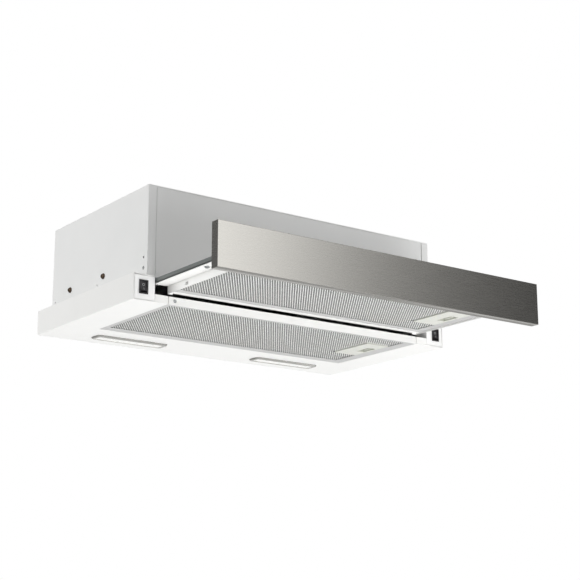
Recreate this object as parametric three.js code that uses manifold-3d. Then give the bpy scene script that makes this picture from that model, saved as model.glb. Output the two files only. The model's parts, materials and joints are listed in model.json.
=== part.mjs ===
// A 60 cm pull-out range hood, shown with its drawer drawn out.
//
// Millimetres, +Z up. X runs across the hood, seen from the front, and -Y points at the cook.
// Every size below is measured from the lower frame: X = 0 is its middle, Y = 0 its front face
// and Z = 0 its underside. The last lines move the whole hood so that the origin is the middle
// of the underside of everything, with the drawer out.

import * as THREE from 'three';
import { mergeVertices } from 'three/addons/utils/BufferGeometryUtils.js';
import Module from 'manifold-3d';

// ---------------------------------------------------------------- Driving dimensions

const GAP = 0.3; // left between pieces that touch
const RUNNING_GAP = 0.5; // left between pieces that pass each other

// Lower frame: a painted steel tray
const FRAME_WIDTH = 598;
const FRAME_DEPTH = 310;
const FRAME_HEIGHT = 40;
const FRAME_SHEET = 1.5;
const SWITCH_CORNER_WIDTH = 36; // of the front face, on each side of the drawer's mouth
const LIP_HEIGHT = 12; // under that mouth
const LIP_THICKNESS = 3.3;
const OPENING_INSET = 22.5; // the filter's opening is narrower than the mouth, each side
const OPENING_FROM_REAR = 98;
const REAR_LEDGE = 12;
const RAIL_LIP_DROP = 11.5; // the turned-down edge that carries the slide channel
const JOGGLE = 0.6; // the ledges are pressed down this much under the upper box
const STRIP_SHEET = 1.5;
const STRIP_TOP_FLANGE = 8;
const STRIP_CLEARANCE = 1.1; // at each end of the opening
const STRIP_TONGUE_REACH = 5; // of the tongue on its right end, into the frame
const STRIP_TONGUE_HEIGHT = 5;
const TAB_REACH = 18.5; // of the tab behind the strip's left end
const TAB_HEIGHT = 8;
const SMALL_HEAD_RADIUS = 3.2;
const SMALL_SHANK_RADIUS = 1.6;
const STRIP_SCREW_INSET = 11.5; // from the end of the strip

// Upper box: folded sheet panels
const BOX_INSET = 24.5; // from each side of the frame
const BOX_HEIGHT = 140; // over the frame
const BOX_SETBACK = 5;
const BOX_SHEET = 1.2;
const FRONT_FLANGE = 13;
const INNER_FLANGE = 11;
const FLANGE_END_INSET = 4;
const SIDE_SCREW_RISE = 26; // over the frame
const SIDE_SCREWS_FROM_REAR = [172, 63];
const SIDE_HEAD_RADIUS = 3.7;
const SIDE_HEAD_HEIGHT = 3.2;
const SIDE_WASHER_RADIUS = 4.7;
const SIDE_WASHER_THICKNESS = 1.2;
const SIDE_SHANK_RADIUS = 2.4;
const SIDE_SHANK_LENGTH = 12;

// Drawer: a painted frame with a filter, a steel fascia and two runners
const TRAVEL = 206.5;
const DRAWER_CLEARANCE = 1; // between its flanges and the sides of the mouth
const DRAWER_FLANGE_DROP = 12.5; // below the frame's top
const DRAWER_RIM_INSET = 22.3; // of the step walls, from the sides of the mouth
const DRAWER_RIM_DROP = 10; // below the flanges
const SIDE_RIM_DROP = 2; // of the step walls, below the rim's other two sides
const RIM_TAB_WIDTH = 8.5; // of the walls' ends that are turned in at the rear corners
const DRAWER_SHEET = 1.2;
const DRAWER_REAR_Y = 2;
const DRAWER_REAR_MEMBER = 10;
const DRAWER_FRONT_MEMBER = 15;
const COVER_INSET = 14; // from the sides of the mouth
const COVER_DROP = 2.8; // below the frame's top
const COVER_SHEET = 1;
const FASCIA_HEIGHT = 65.4;
const FASCIA_DEPTH = 15.2;
const FASCIA_SHEET = 1.2;
const FASCIA_STUD_INSET = 53; // from the sides of the mouth

// Slides
const SLIDE_CLEARANCE = 16; // the slides are this much shorter than the frame's depth
const RUNNER_SETBACK = 2.5; // from the drawer's stop against the frame
const RUNNER_INSET = 12.5; // from the sides of the mouth
const RUNNER_FOOT_WIDTH = 7.1;
const RUNNER_TONGUE_WIDTH = 3.4;
const RUNNER_HEIGHT = 7.9;
const RUNNER_FOOT_HEIGHT = 2.3;
const CHANNEL_SHEET = 1.1;
const CHANNEL_TOP_LIP = 10;
const RUNNER_SCREW_SETBACK = 78; // from the front end of the runner
const PAN_HEAD_RADIUS = 4;
const PAN_HEAD_HEIGHT = 2.4;
const PAN_SHANK_RADIUS = 2;
const NUT_RADIUS = 3;
const PAN_SHANK_LENGTH = 7;

// Grease filters
const FILTER_THICKNESS = 8;
const FILTER_SHEET = 1.2;
const FILTER_RECESS = 0.4; // above the edge of the opening around it
const LOWER_FILTER_BORDERS = { left: 9, right: 19, front: 4.5, rear: 17 };
const LOWER_FILTER_FRONT = 4.6;
const DRAWER_FILTER_BORDERS = { left: 4, right: 15, front: 5, rear: 12 };
const NET_THICKNESS = 2;
const NET_COLUMNS = 20;
const NET_ROWS = 5;
const NET_STRAND = 3;
const LATCH_PLATE_WIDTH = 45;
const LATCH_PLATE_DEPTH = 88;
const LOWER_PLATE_SHIFT = -14; // from the middle of the filter's depth
const DRAWER_PLATE_SHIFT = -1.3;
const POCKET_WIDTH = 15;
const POCKET_DEPTH = 33;
const POCKET_INSET = 6; // from the right edge of the plate
const POCKET_SHIFT = -2; // the pocket sits a little nearer to the front
const POCKET_HEIGHT = 6;
const MOULDING_WALL = 1.5;
const LATCH_WIDTH = 14;
const LATCH_THICKNESS = 1.8;
const LATCH_GRIP = 4;
const LATCH_GRIP_X = 6; // from the left wall of the pocket
const LUG_REACH = 4;
const LUG_THICKNESS = 1.4;
const LUG_LIFT = 1.4; // over the filter's lower face
const LUG_WIDTH = 6;
const LUG_SWING_ROOM = 5.4; // over the filter's lower face
const LUG_SPACING = 110;

// Switches
const SWITCH_BLOCK_DEPTH = 26;
const SWITCH_WALL = 2;
const BEZEL_WIDTH = 15;
const BEZEL_HEIGHT = 21;
const BEZEL_THICKNESS = 1;
const SWITCH_INSET = 16.5; // of its middle, from the side of the frame
const SWITCH_BODY_WIDTH = 12.4;
const SWITCH_BODY_HEIGHT = 18.4;
const SWITCH_BODY_DEPTH = 20;
const SWITCH_CAVITY_DEPTH = 13;
const ROCKER_WIDTH = 9.9;
const ROCKER_HEIGHT = 14.4;
const ROCKER_PIVOT_Y = 4.4;
const ROCKER_FACE = 5.7; // from the pivot to the ends of the face
const ROCKER_HOLLOW = 1.1; // the face's middle lies this much lower than its ends
const ROCKER_BACK = 3;
const ROCKER_SWEEP = 1.3; // room over and under the rocker for its ends to swing
const ROCKER_TILT = THREE.MathUtils.degToRad(11);
const TRUNNION_RADIUS = 1.2;

// Lights
const LIGHT_LENGTH = 132; // over its trim
const LIGHT_DEPTH = 30;
const LIGHT_FROM_SIDE = 77.4;
const LIGHT_FROM_REAR = 34;
const LIGHT_DROP = 3; // of the trim, below the frame
const TRIM_EDGE = 0.6; // the upright part of the trim's side
const TRIM_SLOPE = 2; // the trim's side leans in by this much
const TRIM_CORNER = 5;
const TRIM_LAP = 4; // of the trim over the frame, round the light's window
const TRIM_WIDTH = 6.3; // from the trim's edge to the diffuser
const LIGHT_HEIGHT = 13;
const LIGHT_BASE_THICKNESS = 2;
const LIGHT_CLIP_WIDTH = 12;
const LIGHT_CLIP_REACH = 3;
const LIGHT_CLIP_THICKNESS = 2;
const LIGHT_RECESS = 0.6; // of the diffuser, into the trim
const DIFFUSER_THICKNESS = 2;

// Outlet, blower and electrics
const DUCT_RADIUS = 59.7;
const DUCT_WALL = 1.8;
const DUCT_FROM_REAR = 120;
const COLLAR_RISE = 42; // over the box
const COLLAR_DROP = 14; // below the top of the box
const DUCT_FLANGE = 9;
const DUCT_FLANGE_THICKNESS = 2;
const FLAP_PIN_DROP = 8; // below the top of the box
const FLAP_PIN_RADIUS = 1.3;
const FLAP_THICKNESS = 1.2;
const KNUCKLE_WALL = 1.2;
const KNUCKLE_LENGTH = 44;
const KNUCKLE_START = 4;
const AXLE_DROP = 74; // of the blower, below the top of the box
const SCROLL_GROWTH = 12; // of the spiral's radius, from its tongue round to the neck
const SCROLL_CUTOFF = THREE.MathUtils.degToRad(20);
const SCROLL_STEPS = 28;
const SCROLL_WIDTH = 128;
const SCROLL_WALL = 2;
const NECK_LENGTH = 28.5; // of the straight back of the blower's neck
const NECK_FLANGE = 8;
const INLET_LAP = 10; // the inlets are smaller than the impeller by this much
const IMPELLER_CLEARANCE = 4; // between the impeller and the spiral's narrowest place
const IMPELLER_LENGTH = 116;
const IMPELLER_BLADES = 20;
const BLADE_CHORD = 9;
const BLADE_THICKNESS = 1.2;
const BLADE_PITCH = THREE.MathUtils.degToRad(35);
const END_RING = 3;
const HUB_RADIUS = 10;
const HUB_LENGTH = 24;
const SHAFT_RADIUS = 4;
const MOTOR_RADIUS = 38;
const MOTOR_LENGTH = 70;
const MOTOR_BORE_DEPTH = 12;
const MOTOR_CHAMFER = 5;
const BRACKET_THICKNESS = 2;
const BRACKET_REACH = 47;
const BRACKET_ARMS = 3;
const BRACKET_ARM = 14;
const BRACKET_HUB_RADIUS = 22;
const CAPACITOR_RADIUS = 15;
const CAPACITOR_LENGTH = 50;
const CAPACITOR_RISE = 20; // over the blower's axle
const TERMINAL_BOX = { fromSide: 79.5, fromRear: 75, width: 90, depth: 90, height: 38 };
const TERMINAL_WALL = 2;
const DRIVER = { fromSide: 84.5, fromRear: 55, width: 80, depth: 34, height: 20 };
const GLAND_FLANGE_RADIUS = 11;
const GLAND_SHANK_RADIUS = 7;
const GLAND_BORE_RADIUS = 4;
const GLAND_REACH = 6; // below the top panel's seat
const GLAND_DOME_RADIUS = 8;
const GLAND_MOUTH_RADIUS = 5;
const GLAND_DOME_HEIGHT = 12;
const GLAND_FLANGE_THICKNESS = 3.5;

const DOME_TOP = 0.6; // of a screw head's radius, where its dome turns flat
const DOME_SHOULDER = 0.5; // of a screw head's height, where its dome starts
const PAST = 1; // a cut runs this far past the face that it opens
const HEXAGON = 6;
const TRIM_STEPS = 5; // sides of each of the light trim's round corners
const ROUND = 12; // sides of a small round piece
const BLOWER_ROUND = 24; // sides of the blower's wheel, inlets and motor
const WIDE_ROUND = 48; // sides of the duct and its flaps

// ---------------------------------------------------------------- Derived sizes

const HALF_FRAME = FRAME_WIDTH / 2;
const HALF_SLOT = HALF_FRAME - SWITCH_CORNER_WIDTH; // the drawer's mouth
const HALF_OPENING = HALF_SLOT - OPENING_INSET;
const OPENING_DEPTH = FRAME_DEPTH - OPENING_FROM_REAR;
const LEDGE_Z = FRAME_HEIGHT - FRAME_SHEET; // underside of the top ledges
const SEAT_Z = FRAME_HEIGHT - JOGGLE; // what the upper box stands on
const HALF_BOX = HALF_FRAME - BOX_INSET;
const BOX_BOTTOM = SEAT_Z + GAP;
const BOX_TOP = FRAME_HEIGHT + BOX_HEIGHT;
const DUCT_CENTRE_Y = FRAME_DEPTH - DUCT_FROM_REAR;
const AXLE_Z = BOX_TOP - AXLE_DROP;
const SCROLL_END_RADIUS = DUCT_RADIUS + GAP + SCROLL_WALL; // the collar stands in the neck
const SCROLL_START_RADIUS = SCROLL_END_RADIUS - SCROLL_GROWTH;
const IMPELLER_RADIUS = SCROLL_START_RADIUS - SCROLL_WALL - IMPELLER_CLEARANCE;
const INLET_RADIUS = IMPELLER_RADIUS - INLET_LAP;
const PANEL_TOP = BOX_TOP - BOX_SHEET - GAP; // what the top panel lies on
const FASCIA_BACK_Y = -TRAVEL - GAP;
const FASCIA_FRONT_Y = FASCIA_BACK_Y - FASCIA_DEPTH;
const HALF_FLANGE = HALF_SLOT - DRAWER_CLEARANCE;
const HALF_RIM = HALF_SLOT - DRAWER_RIM_INSET;
const HALF_COVER = HALF_SLOT - COVER_INSET;
const DRAWER_FLANGE_Z = FRAME_HEIGHT - DRAWER_FLANGE_DROP;
const DRAWER_RIM_Z = DRAWER_FLANGE_Z - DRAWER_RIM_DROP;
const COVER_TOP = FRAME_HEIGHT - COVER_DROP;
const FLANGE_TOP = DRAWER_FLANGE_Z + DRAWER_SHEET;
const DRAWER_FRONT_Y = FASCIA_FRONT_Y + FASCIA_SHEET + GAP;
const RUNNER_Z = FLANGE_TOP + GAP;
const RUNNER_TOP = RUNNER_Z + RUNNER_HEIGHT;
const RUNNER_FRONT_Y = -TRAVEL + RUNNER_SETBACK;
const SLIDE_LENGTH = FRAME_DEPTH - SLIDE_CLEARANCE;
const RUNNER_FOOT_X = HALF_SLOT - RUNNER_INSET;
const TONGUE_X = RUNNER_FOOT_X + RUNNER_FOOT_WIDTH;
const TONGUE_END_X = TONGUE_X + RUNNER_TONGUE_WIDTH;
const RUNNER_SCREW_X = RUNNER_FOOT_X + RUNNER_FOOT_WIDTH / 2;
const RUNNER_SCREW_Y = RUNNER_FRONT_Y + RUNNER_SCREW_SETBACK;

// ---------------------------------------------------------------- Shapes and solids

const wasm = await Module();
wasm.setup();

function solidOf(geometry) {
  const bare = geometry.clone();
  bare.deleteAttribute('normal');
  bare.deleteAttribute('uv');
  const merged = mergeVertices(bare, 1e-4);
  return new wasm.Manifold(new wasm.Mesh({
    numProp: 3,
    vertProperties: Float32Array.from(merged.attributes.position.array),
    triVerts: Uint32Array.from(merged.index.array),
  }));
}

function geometryOf(solid) {
  const mesh = solid.getMesh();
  const geometry = new THREE.BufferGeometry();
  geometry.setAttribute('position', new THREE.BufferAttribute(mesh.vertProperties, mesh.numProp));
  geometry.setIndex(new THREE.BufferAttribute(mesh.triVerts, 1));
  geometry.computeVertexNormals();
  return geometry;
}

const join = (first, ...others) => others.reduce((whole, other) => whole.add(other), first);
const cut = (first, ...others) => others.reduce((whole, other) => whole.subtract(other), first);

// A span of X on the left (-1) or right (+1) side of the hood.
const onSide = (side, near, far) => (side < 0 ? [-far, -near] : [near, far]);
const around = (middle, size) => [middle - size / 2, middle + size / 2];
const grown = ([from, to], by) => [from - by, to + by];
const middleOf = ([from, to]) => (from + to) / 2;

function block([x0, x1], [y0, y1], [z0, z1]) {
  const box = new THREE.BoxGeometry(x1 - x0, y1 - y0, z1 - z0);
  box.translate((x0 + x1) / 2, (y0 + y1) / 2, (z0 + z1) / 2);
  return solidOf(box);
}

// A round bar along an axis, through the point (a, b) of the other two axes.
function rod(axis, radius, [from, to], [a, b], sides = ROUND) {
  const bar = new THREE.CylinderGeometry(radius, radius, to - from, sides);
  const middle = (from + to) / 2;
  if (axis === 'x') bar.rotateZ(-Math.PI / 2).translate(middle, a, b);
  if (axis === 'y') bar.translate(a, middle, b);
  if (axis === 'z') bar.rotateX(Math.PI / 2).translate(a, b, middle);
  return solidOf(bar);
}

const X = new THREE.Vector3(1, 0, 0);
const Y = new THREE.Vector3(0, 1, 0);
const Z = new THREE.Vector3(0, 0, 1);

// An outline drawn in (y, z) for axis x, (x, z) for axis y or (x, y) for axis z, drawn out
// between two places on that axis.
function prism(outline, axis, [from, to]) {
  const shape = outline instanceof THREE.Shape ? outline : new THREE.Shape(outline);
  const geometry = new THREE.ExtrudeGeometry(shape, { depth: to - from, bevelEnabled: false });
  const turn = new THREE.Matrix4();
  if (axis === 'x') turn.makeBasis(Y, Z, X).setPosition(from, 0, 0);
  if (axis === 'y') turn.makeBasis(X, Z, Y.clone().negate()).setPosition(0, to, 0);
  if (axis === 'z') turn.setPosition(0, 0, from);
  return solidOf(geometry.applyMatrix4(turn));
}

const point = (u, v) => new THREE.Vector2(u, v);

// A round piece turned about a line through `place`, its profile given as (radius, height)
// points with the height running along `direction`.
function turned(profile, direction, place, sides = ROUND) {
  const geometry = new THREE.LatheGeometry(profile.map(([r, h]) => point(r, h)), sides);
  const turn = new THREE.Quaternion().setFromUnitVectors(Y, direction);
  geometry.applyQuaternion(turn).translate(place[0], place[1], place[2]);
  return solidOf(geometry);
}

// A screw along `direction`, which points from its head to its tip; `place` is under the head.
function screw(headRadius, headHeight, shankRadius, shankLength, direction, place) {
  const profile = [
    [0, -headHeight],
    [headRadius * DOME_TOP, -headHeight],
    [headRadius, -headHeight * DOME_SHOULDER],
    [headRadius, 0],
    [shankRadius, 0],
    [shankRadius, shankLength - shankRadius],
    [0, shankLength],
  ];
  return turned(profile, direction, place);
}

const hood = new THREE.Group();
const drawer = new THREE.Group();
hood.add(drawer);

function addPiece(group, name, solid, material) {
  const mesh = new THREE.Mesh(geometryOf(solid), material.clone());
  mesh.name = name;
  group.add(mesh);
  return mesh;
}

// ---------------------------------------------------------------- Materials

const finish = (color, roughness, metalness) =>
  new THREE.MeshStandardMaterial({ color, roughness, metalness });

const whitePaint = finish(0xf1f1ef, 0.45, 0);
const greyPaint = finish(0xdcdddb, 0.5, 0);
const brushedSteel = finish(0x9a9a95, 0.32, 1);
const zincSteel = finish(0xa8abad, 0.4, 0.9);
const darkZinc = finish(0x6b6258, 0.45, 0.8);
const aluminium = finish(0xb9bbba, 0.38, 0.9);
const whitePlastic = finish(0xededea, 0.5, 0);
const greyPlastic = finish(0xd2d3cc, 0.5, 0);
const blackPlastic = finish(0x191719, 0.4, 0);
const frostedLens = finish(0xf7f7f4, 0.35, 0);

// ---------------------------------------------------------------- Lower frame

const SIDES = [[-1, 'left'], [1, 'right']];

function lightSpanX(side) {
  const outer = HALF_FRAME - LIGHT_FROM_SIDE;
  return onSide(side, outer - LIGHT_LENGTH, outer);
}

const lightRear = FRAME_DEPTH - LIGHT_FROM_REAR;
const lightSpanY = [lightRear - LIGHT_DEPTH, lightRear];
const stripX = grown([-HALF_OPENING, HALF_OPENING], -STRIP_CLEARANCE);
const stripZ = [0, LIP_HEIGHT];
const stripY = [0, STRIP_SHEET];
const tabZ = around(LIP_HEIGHT / 2, TAB_HEIGHT);
const stripHole = [STRIP_SCREW_INSET - HALF_OPENING, LIP_HEIGHT / 2];
const tongueZ = around(LIP_HEIGHT / 2, STRIP_TONGUE_HEIGHT);

function buildLowerFrame() {
  const wholeDepth = [0, FRAME_DEPTH];
  const seatX = HALF_BOX + RUNNING_GAP;
  const tray = block([-HALF_FRAME, HALF_FRAME], wholeDepth, [0, FRAME_SHEET]);
  const rearWall = block([-HALF_FRAME, HALF_FRAME], [FRAME_DEPTH - FRAME_SHEET, FRAME_DEPTH],
    [0, FRAME_HEIGHT]);
  const rearLedge = block([-HALF_FRAME, HALF_FRAME], [FRAME_DEPTH - REAR_LEDGE, FRAME_DEPTH],
    [LEDGE_Z - JOGGLE, FRAME_HEIGHT]);
  let frame = join(tray, rearWall, rearLedge);
  for (const [side] of SIDES) {
    const wall = block(onSide(side, HALF_FRAME - FRAME_SHEET, HALF_FRAME), wholeDepth,
      [0, FRAME_HEIGHT]);
    const ledge = block(onSide(side, HALF_SLOT, HALF_FRAME), wholeDepth, [LEDGE_Z, FRAME_HEIGHT]);
    const boxSeat = block(onSide(side, HALF_SLOT, seatX + FRAME_SHEET), wholeDepth,
      [LEDGE_Z - JOGGLE, FRAME_HEIGHT]);
    const railLip = block(onSide(side, HALF_SLOT, HALF_SLOT + FRAME_SHEET),
      [SWITCH_BLOCK_DEPTH + RUNNING_GAP, FRAME_DEPTH], [LEDGE_Z - RAIL_LIP_DROP, FRAME_HEIGHT]);
    const lipEnd = block(onSide(side, HALF_OPENING + GAP, HALF_SLOT), [0, LIP_THICKNESS], stripZ);
    frame = join(frame, wall, ledge, boxSeat, railLip, lipEnd);
  }
  frame = join(frame, block([-HALF_OPENING - GAP * 2, TAB_REACH - HALF_OPENING],
    [STRIP_SHEET + GAP, LIP_THICKNESS], tabZ));
  frame = cut(frame, block([-seatX, seatX], grown(wholeDepth, PAST), [SEAT_Z, FRAME_HEIGHT + PAST]));
  frame = cut(frame, block([-HALF_OPENING, HALF_OPENING], [LIP_THICKNESS, OPENING_DEPTH],
    grown([0, FRAME_SHEET], PAST)));
  frame = cut(frame, block([-HALF_OPENING, HALF_OPENING], grown([0, LIP_THICKNESS], PAST),
    [-PAST, tabZ[0]]));
  for (const [side] of SIDES) {
    const window = block(grown(lightSpanX(side), GAP - TRIM_LAP), grown(lightSpanY, GAP - TRIM_LAP),
      grown([0, FRAME_SHEET], PAST));
    frame = cut(frame, window);
  }
  const screwHole = rod('y', SMALL_SHANK_RADIUS + GAP, grown([0, LIP_THICKNESS], PAST), stripHole);
  const tongueSlot = block([HALF_OPENING, stripX[1] + STRIP_TONGUE_REACH + GAP],
    [STRIP_SHEET - GAP, LIP_THICKNESS + PAST], grown(tongueZ, GAP));
  return cut(frame, screwHole, tongueSlot);
}

addPiece(hood, 'lower_frame', buildLowerFrame(), whitePaint);

// Its right end is held by a tongue in a slot of the frame, its left end by a screw.
function buildFrontStrip() {
  const wall = block(stripX, stripY, stripZ);
  const flange = block(stripX, [0, STRIP_TOP_FLANGE], [LIP_HEIGHT - STRIP_SHEET, LIP_HEIGHT]);
  const tongue = block([stripX[1] - STRIP_TONGUE_REACH, stripX[1] + STRIP_TONGUE_REACH],
    [STRIP_SHEET, LIP_THICKNESS - GAP], tongueZ);
  return cut(join(wall, flange, tongue),
    rod('y', SMALL_SHANK_RADIUS + GAP, grown(stripY, PAST), stripHole));
}

addPiece(hood, 'front_strip', buildFrontStrip(), whitePaint);

addPiece(hood, 'front_strip_screw', screw(SMALL_HEAD_RADIUS, SMALL_SHANK_RADIUS,
  SMALL_SHANK_RADIUS, LIP_THICKNESS + GAP, Y, [stripHole[0], -GAP, stripHole[1]]), zincSteel);

// ---------------------------------------------------------------- Upper box

const sheetX = HALF_BOX - BOX_SHEET; // inner face of a side panel
const flangeX = sheetX - INNER_FLANGE;
const panelX = sheetX - GAP; // half width of the front and rear panels
const frontPanelY = BOX_SETBACK + BOX_SHEET + GAP;
const rearPanelY = FRAME_DEPTH - BOX_SHEET;
const sideScrewYs = SIDE_SCREWS_FROM_REAR.map((setback) => FRAME_DEPTH - setback);
const sideScrewZ = FRAME_HEIGHT + SIDE_SCREW_RISE;

function buildSidePanel(side) {
  const depth = [BOX_SETBACK, FRAME_DEPTH];
  const flangeDepth = [frontPanelY + BOX_SHEET + FLANGE_END_INSET, rearPanelY - FLANGE_END_INSET];
  const wall = block(onSide(side, sheetX, HALF_BOX), depth, [BOX_BOTTOM, PANEL_TOP]);
  const front = block(onSide(side, HALF_BOX - FRONT_FLANGE, HALF_BOX),
    [BOX_SETBACK, BOX_SETBACK + BOX_SHEET], [BOX_BOTTOM, PANEL_TOP]);
  const foot = block(onSide(side, flangeX, HALF_BOX), flangeDepth,
    [BOX_BOTTOM, BOX_BOTTOM + BOX_SHEET]);
  const head = block(onSide(side, flangeX, HALF_BOX), flangeDepth,
    [PANEL_TOP - BOX_SHEET, PANEL_TOP]);
  const holes = sideScrewYs.map((y) => rod('x', SIDE_SHANK_RADIUS + GAP,
    grown(onSide(side, sheetX, HALF_BOX), PAST), [y, sideScrewZ]));
  return cut(join(wall, front, foot, head), ...holes);
}

// Pan head, washer and shank in one, screwed in from the outside.
function buildSideScrew(side, y) {
  const profile = [
    [0, -SIDE_WASHER_THICKNESS - SIDE_HEAD_HEIGHT],
    [SIDE_HEAD_RADIUS * DOME_TOP, -SIDE_WASHER_THICKNESS - SIDE_HEAD_HEIGHT],
    [SIDE_HEAD_RADIUS, -SIDE_WASHER_THICKNESS - SIDE_HEAD_HEIGHT * DOME_SHOULDER],
    [SIDE_HEAD_RADIUS, -SIDE_WASHER_THICKNESS],
    [SIDE_WASHER_RADIUS, -SIDE_WASHER_THICKNESS],
    [SIDE_WASHER_RADIUS, 0],
    [SIDE_SHANK_RADIUS, 0],
    [SIDE_SHANK_RADIUS, SIDE_SHANK_LENGTH],
    [0, SIDE_SHANK_LENGTH + SIDE_SHANK_RADIUS],
  ];
  const inwards = X.clone().multiplyScalar(-side);
  return turned(profile, inwards, [side * (HALF_BOX + GAP), y, sideScrewZ]);
}

for (const [side, name] of SIDES) {
  addPiece(hood, `${name}_side_panel`, buildSidePanel(side), greyPaint);
  sideScrewYs.forEach((y, index) => {
    addPiece(hood, `${name}_side_screw_${['front', 'rear'][index]}`, buildSideScrew(side, y),
      darkZinc);
  });
}

const frontPanel = join(
  block([-panelX, panelX], [frontPanelY, frontPanelY + BOX_SHEET], [BOX_BOTTOM, PANEL_TOP]),
  block([-flangeX + GAP, flangeX - GAP], [frontPanelY, frontPanelY + INNER_FLANGE],
    [BOX_BOTTOM, BOX_BOTTOM + BOX_SHEET]),
);
addPiece(hood, 'front_panel', frontPanel, greyPaint);

const rearPanel = block([-panelX, panelX], [rearPanelY, FRAME_DEPTH], [BOX_BOTTOM, PANEL_TOP]);
addPiece(hood, 'rear_panel', rearPanel, greyPaint);

const topPanelZ = [BOX_TOP - BOX_SHEET, BOX_TOP];
const terminalPlace = [TERMINAL_BOX.fromSide - HALF_BOX, FRAME_DEPTH - TERMINAL_BOX.fromRear];
const topPanel = cut(
  block([-HALF_BOX, HALF_BOX], [BOX_SETBACK, FRAME_DEPTH], topPanelZ),
  rod('z', DUCT_RADIUS + RUNNING_GAP, grown(topPanelZ, PAST), [0, DUCT_CENTRE_Y], WIDE_ROUND),
  rod('z', GLAND_SHANK_RADIUS + GAP, grown(topPanelZ, PAST), terminalPlace),
);
addPiece(hood, 'top_panel', topPanel, greyPaint);

// ---------------------------------------------------------------- Outlet and back-draught flaps

const ductFlangeZ = BOX_TOP + GAP;
const ductInner = DUCT_RADIUS - DUCT_WALL;
const collarZ = [BOX_TOP - COLLAR_DROP, BOX_TOP + COLLAR_RISE];
const outletCollar = turned([
  [ductInner, collarZ[0]],
  [DUCT_RADIUS, collarZ[0]],
  [DUCT_RADIUS, ductFlangeZ],
  [DUCT_RADIUS + DUCT_FLANGE, ductFlangeZ],
  [DUCT_RADIUS + DUCT_FLANGE, ductFlangeZ + DUCT_FLANGE_THICKNESS],
  [DUCT_RADIUS, ductFlangeZ + DUCT_FLANGE_THICKNESS],
  [DUCT_RADIUS, collarZ[1]],
  [ductInner, collarZ[1]],
  [ductInner, collarZ[0]],
], Z, [0, DUCT_CENTRE_Y, 0], WIDE_ROUND);
addPiece(hood, 'outlet_collar', outletCollar, blackPlastic);

const ductInscribed = ductInner * Math.cos(Math.PI / WIDE_ROUND); // to the flats of its facets
const pinSpan = around(DUCT_CENTRE_Y, 2 * (ductInscribed - GAP));
const pinZ = BOX_TOP - FLAP_PIN_DROP;
addPiece(hood, 'flap_pin', rod('y', FLAP_PIN_RADIUS, pinSpan, [0, pinZ]), zincSteel);

const knuckleBore = FLAP_PIN_RADIUS + GAP;
const knuckleRadius = knuckleBore + KNUCKLE_WALL;

// Half a disc with a knuckle on the pin. The left flap's knuckle is at the front of the pin
// and the right flap's at the back.
function buildFlap(side) {
  const disc = rod('z', ductInscribed - RUNNING_GAP, around(pinZ, FLAP_THICKNESS),
    [0, DUCT_CENTRE_Y], WIDE_ROUND);
  const near = side < 0 ? [-DUCT_RADIUS, 0] : [0, DUCT_RADIUS];
  const half = disc.intersect(block(near, around(DUCT_CENTRE_Y, 2 * DUCT_RADIUS),
    grown([pinZ, pinZ], FLAP_THICKNESS)));
  const knuckleStart = DUCT_CENTRE_Y + side * KNUCKLE_START;
  const knuckleEnd = knuckleStart + side * KNUCKLE_LENGTH;
  const knuckleSpan = [Math.min(knuckleStart, knuckleEnd), Math.max(knuckleStart, knuckleEnd)];
  const clear = rod('y', knuckleRadius + RUNNING_GAP, around(DUCT_CENTRE_Y, 2 * DUCT_RADIUS),
    [0, pinZ]);
  const knuckle = rod('y', knuckleRadius, knuckleSpan, [0, pinZ]);
  const web = block(onSide(side, 0, knuckleRadius + RUNNING_GAP + KNUCKLE_WALL), knuckleSpan,
    around(pinZ, FLAP_THICKNESS));
  const bore = rod('y', knuckleBore, around(DUCT_CENTRE_Y, 2 * DUCT_RADIUS), [0, pinZ]);
  return cut(join(cut(half, clear), web, knuckle), bore);
}

for (const [side, name] of SIDES) {
  addPiece(hood, `${name}_flap`, buildFlap(side), greyPlastic);
}

// ---------------------------------------------------------------- Blower

const blowerY = DUCT_CENTRE_Y;
const axle = [blowerY, AXLE_Z];
const blowerX = around(0, SCROLL_WIDTH);

// The scroll seen along X, drawn in by `inset`: down the front of the neck, round the spiral
// and up the back of the neck.
function scrollOutline(inset, neckTop) {
  const outline = [
    point(blowerY + SCROLL_END_RADIUS - inset, neckTop),
    point(blowerY - SCROLL_END_RADIUS + inset, neckTop),
  ];
  for (let step = 0; step <= SCROLL_STEPS; step += 1) {
    const share = step / SCROLL_STEPS;
    const angle = Math.PI + share * (Math.PI + SCROLL_CUTOFF);
    const radius = THREE.MathUtils.lerp(SCROLL_END_RADIUS, SCROLL_START_RADIUS, share) - inset;
    outline.push(point(blowerY + radius * Math.cos(angle),
      AXLE_Z + radius * Math.sin(angle)));
  }
  outline.push(point(blowerY + SCROLL_END_RADIUS - inset, PANEL_TOP - NECK_LENGTH));
  return outline;
}

function buildBlowerHousing() {
  const outside = prism(scrollOutline(0, PANEL_TOP), 'x', blowerX);
  const flange = block(grown(blowerX, NECK_FLANGE), grown(around(blowerY, 2 * SCROLL_END_RADIUS),
    NECK_FLANGE), [PANEL_TOP - SCROLL_WALL, PANEL_TOP]);
  const inside = prism(scrollOutline(SCROLL_WALL, PANEL_TOP + PAST), 'x',
    grown(blowerX, -SCROLL_WALL));
  const inlets = rod('x', INLET_RADIUS, grown(blowerX, PAST), axle, BLOWER_ROUND);
  return cut(join(outside, flange), inside, inlets);
}

addPiece(hood, 'blower_housing', buildBlowerHousing(), zincSteel);

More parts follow.
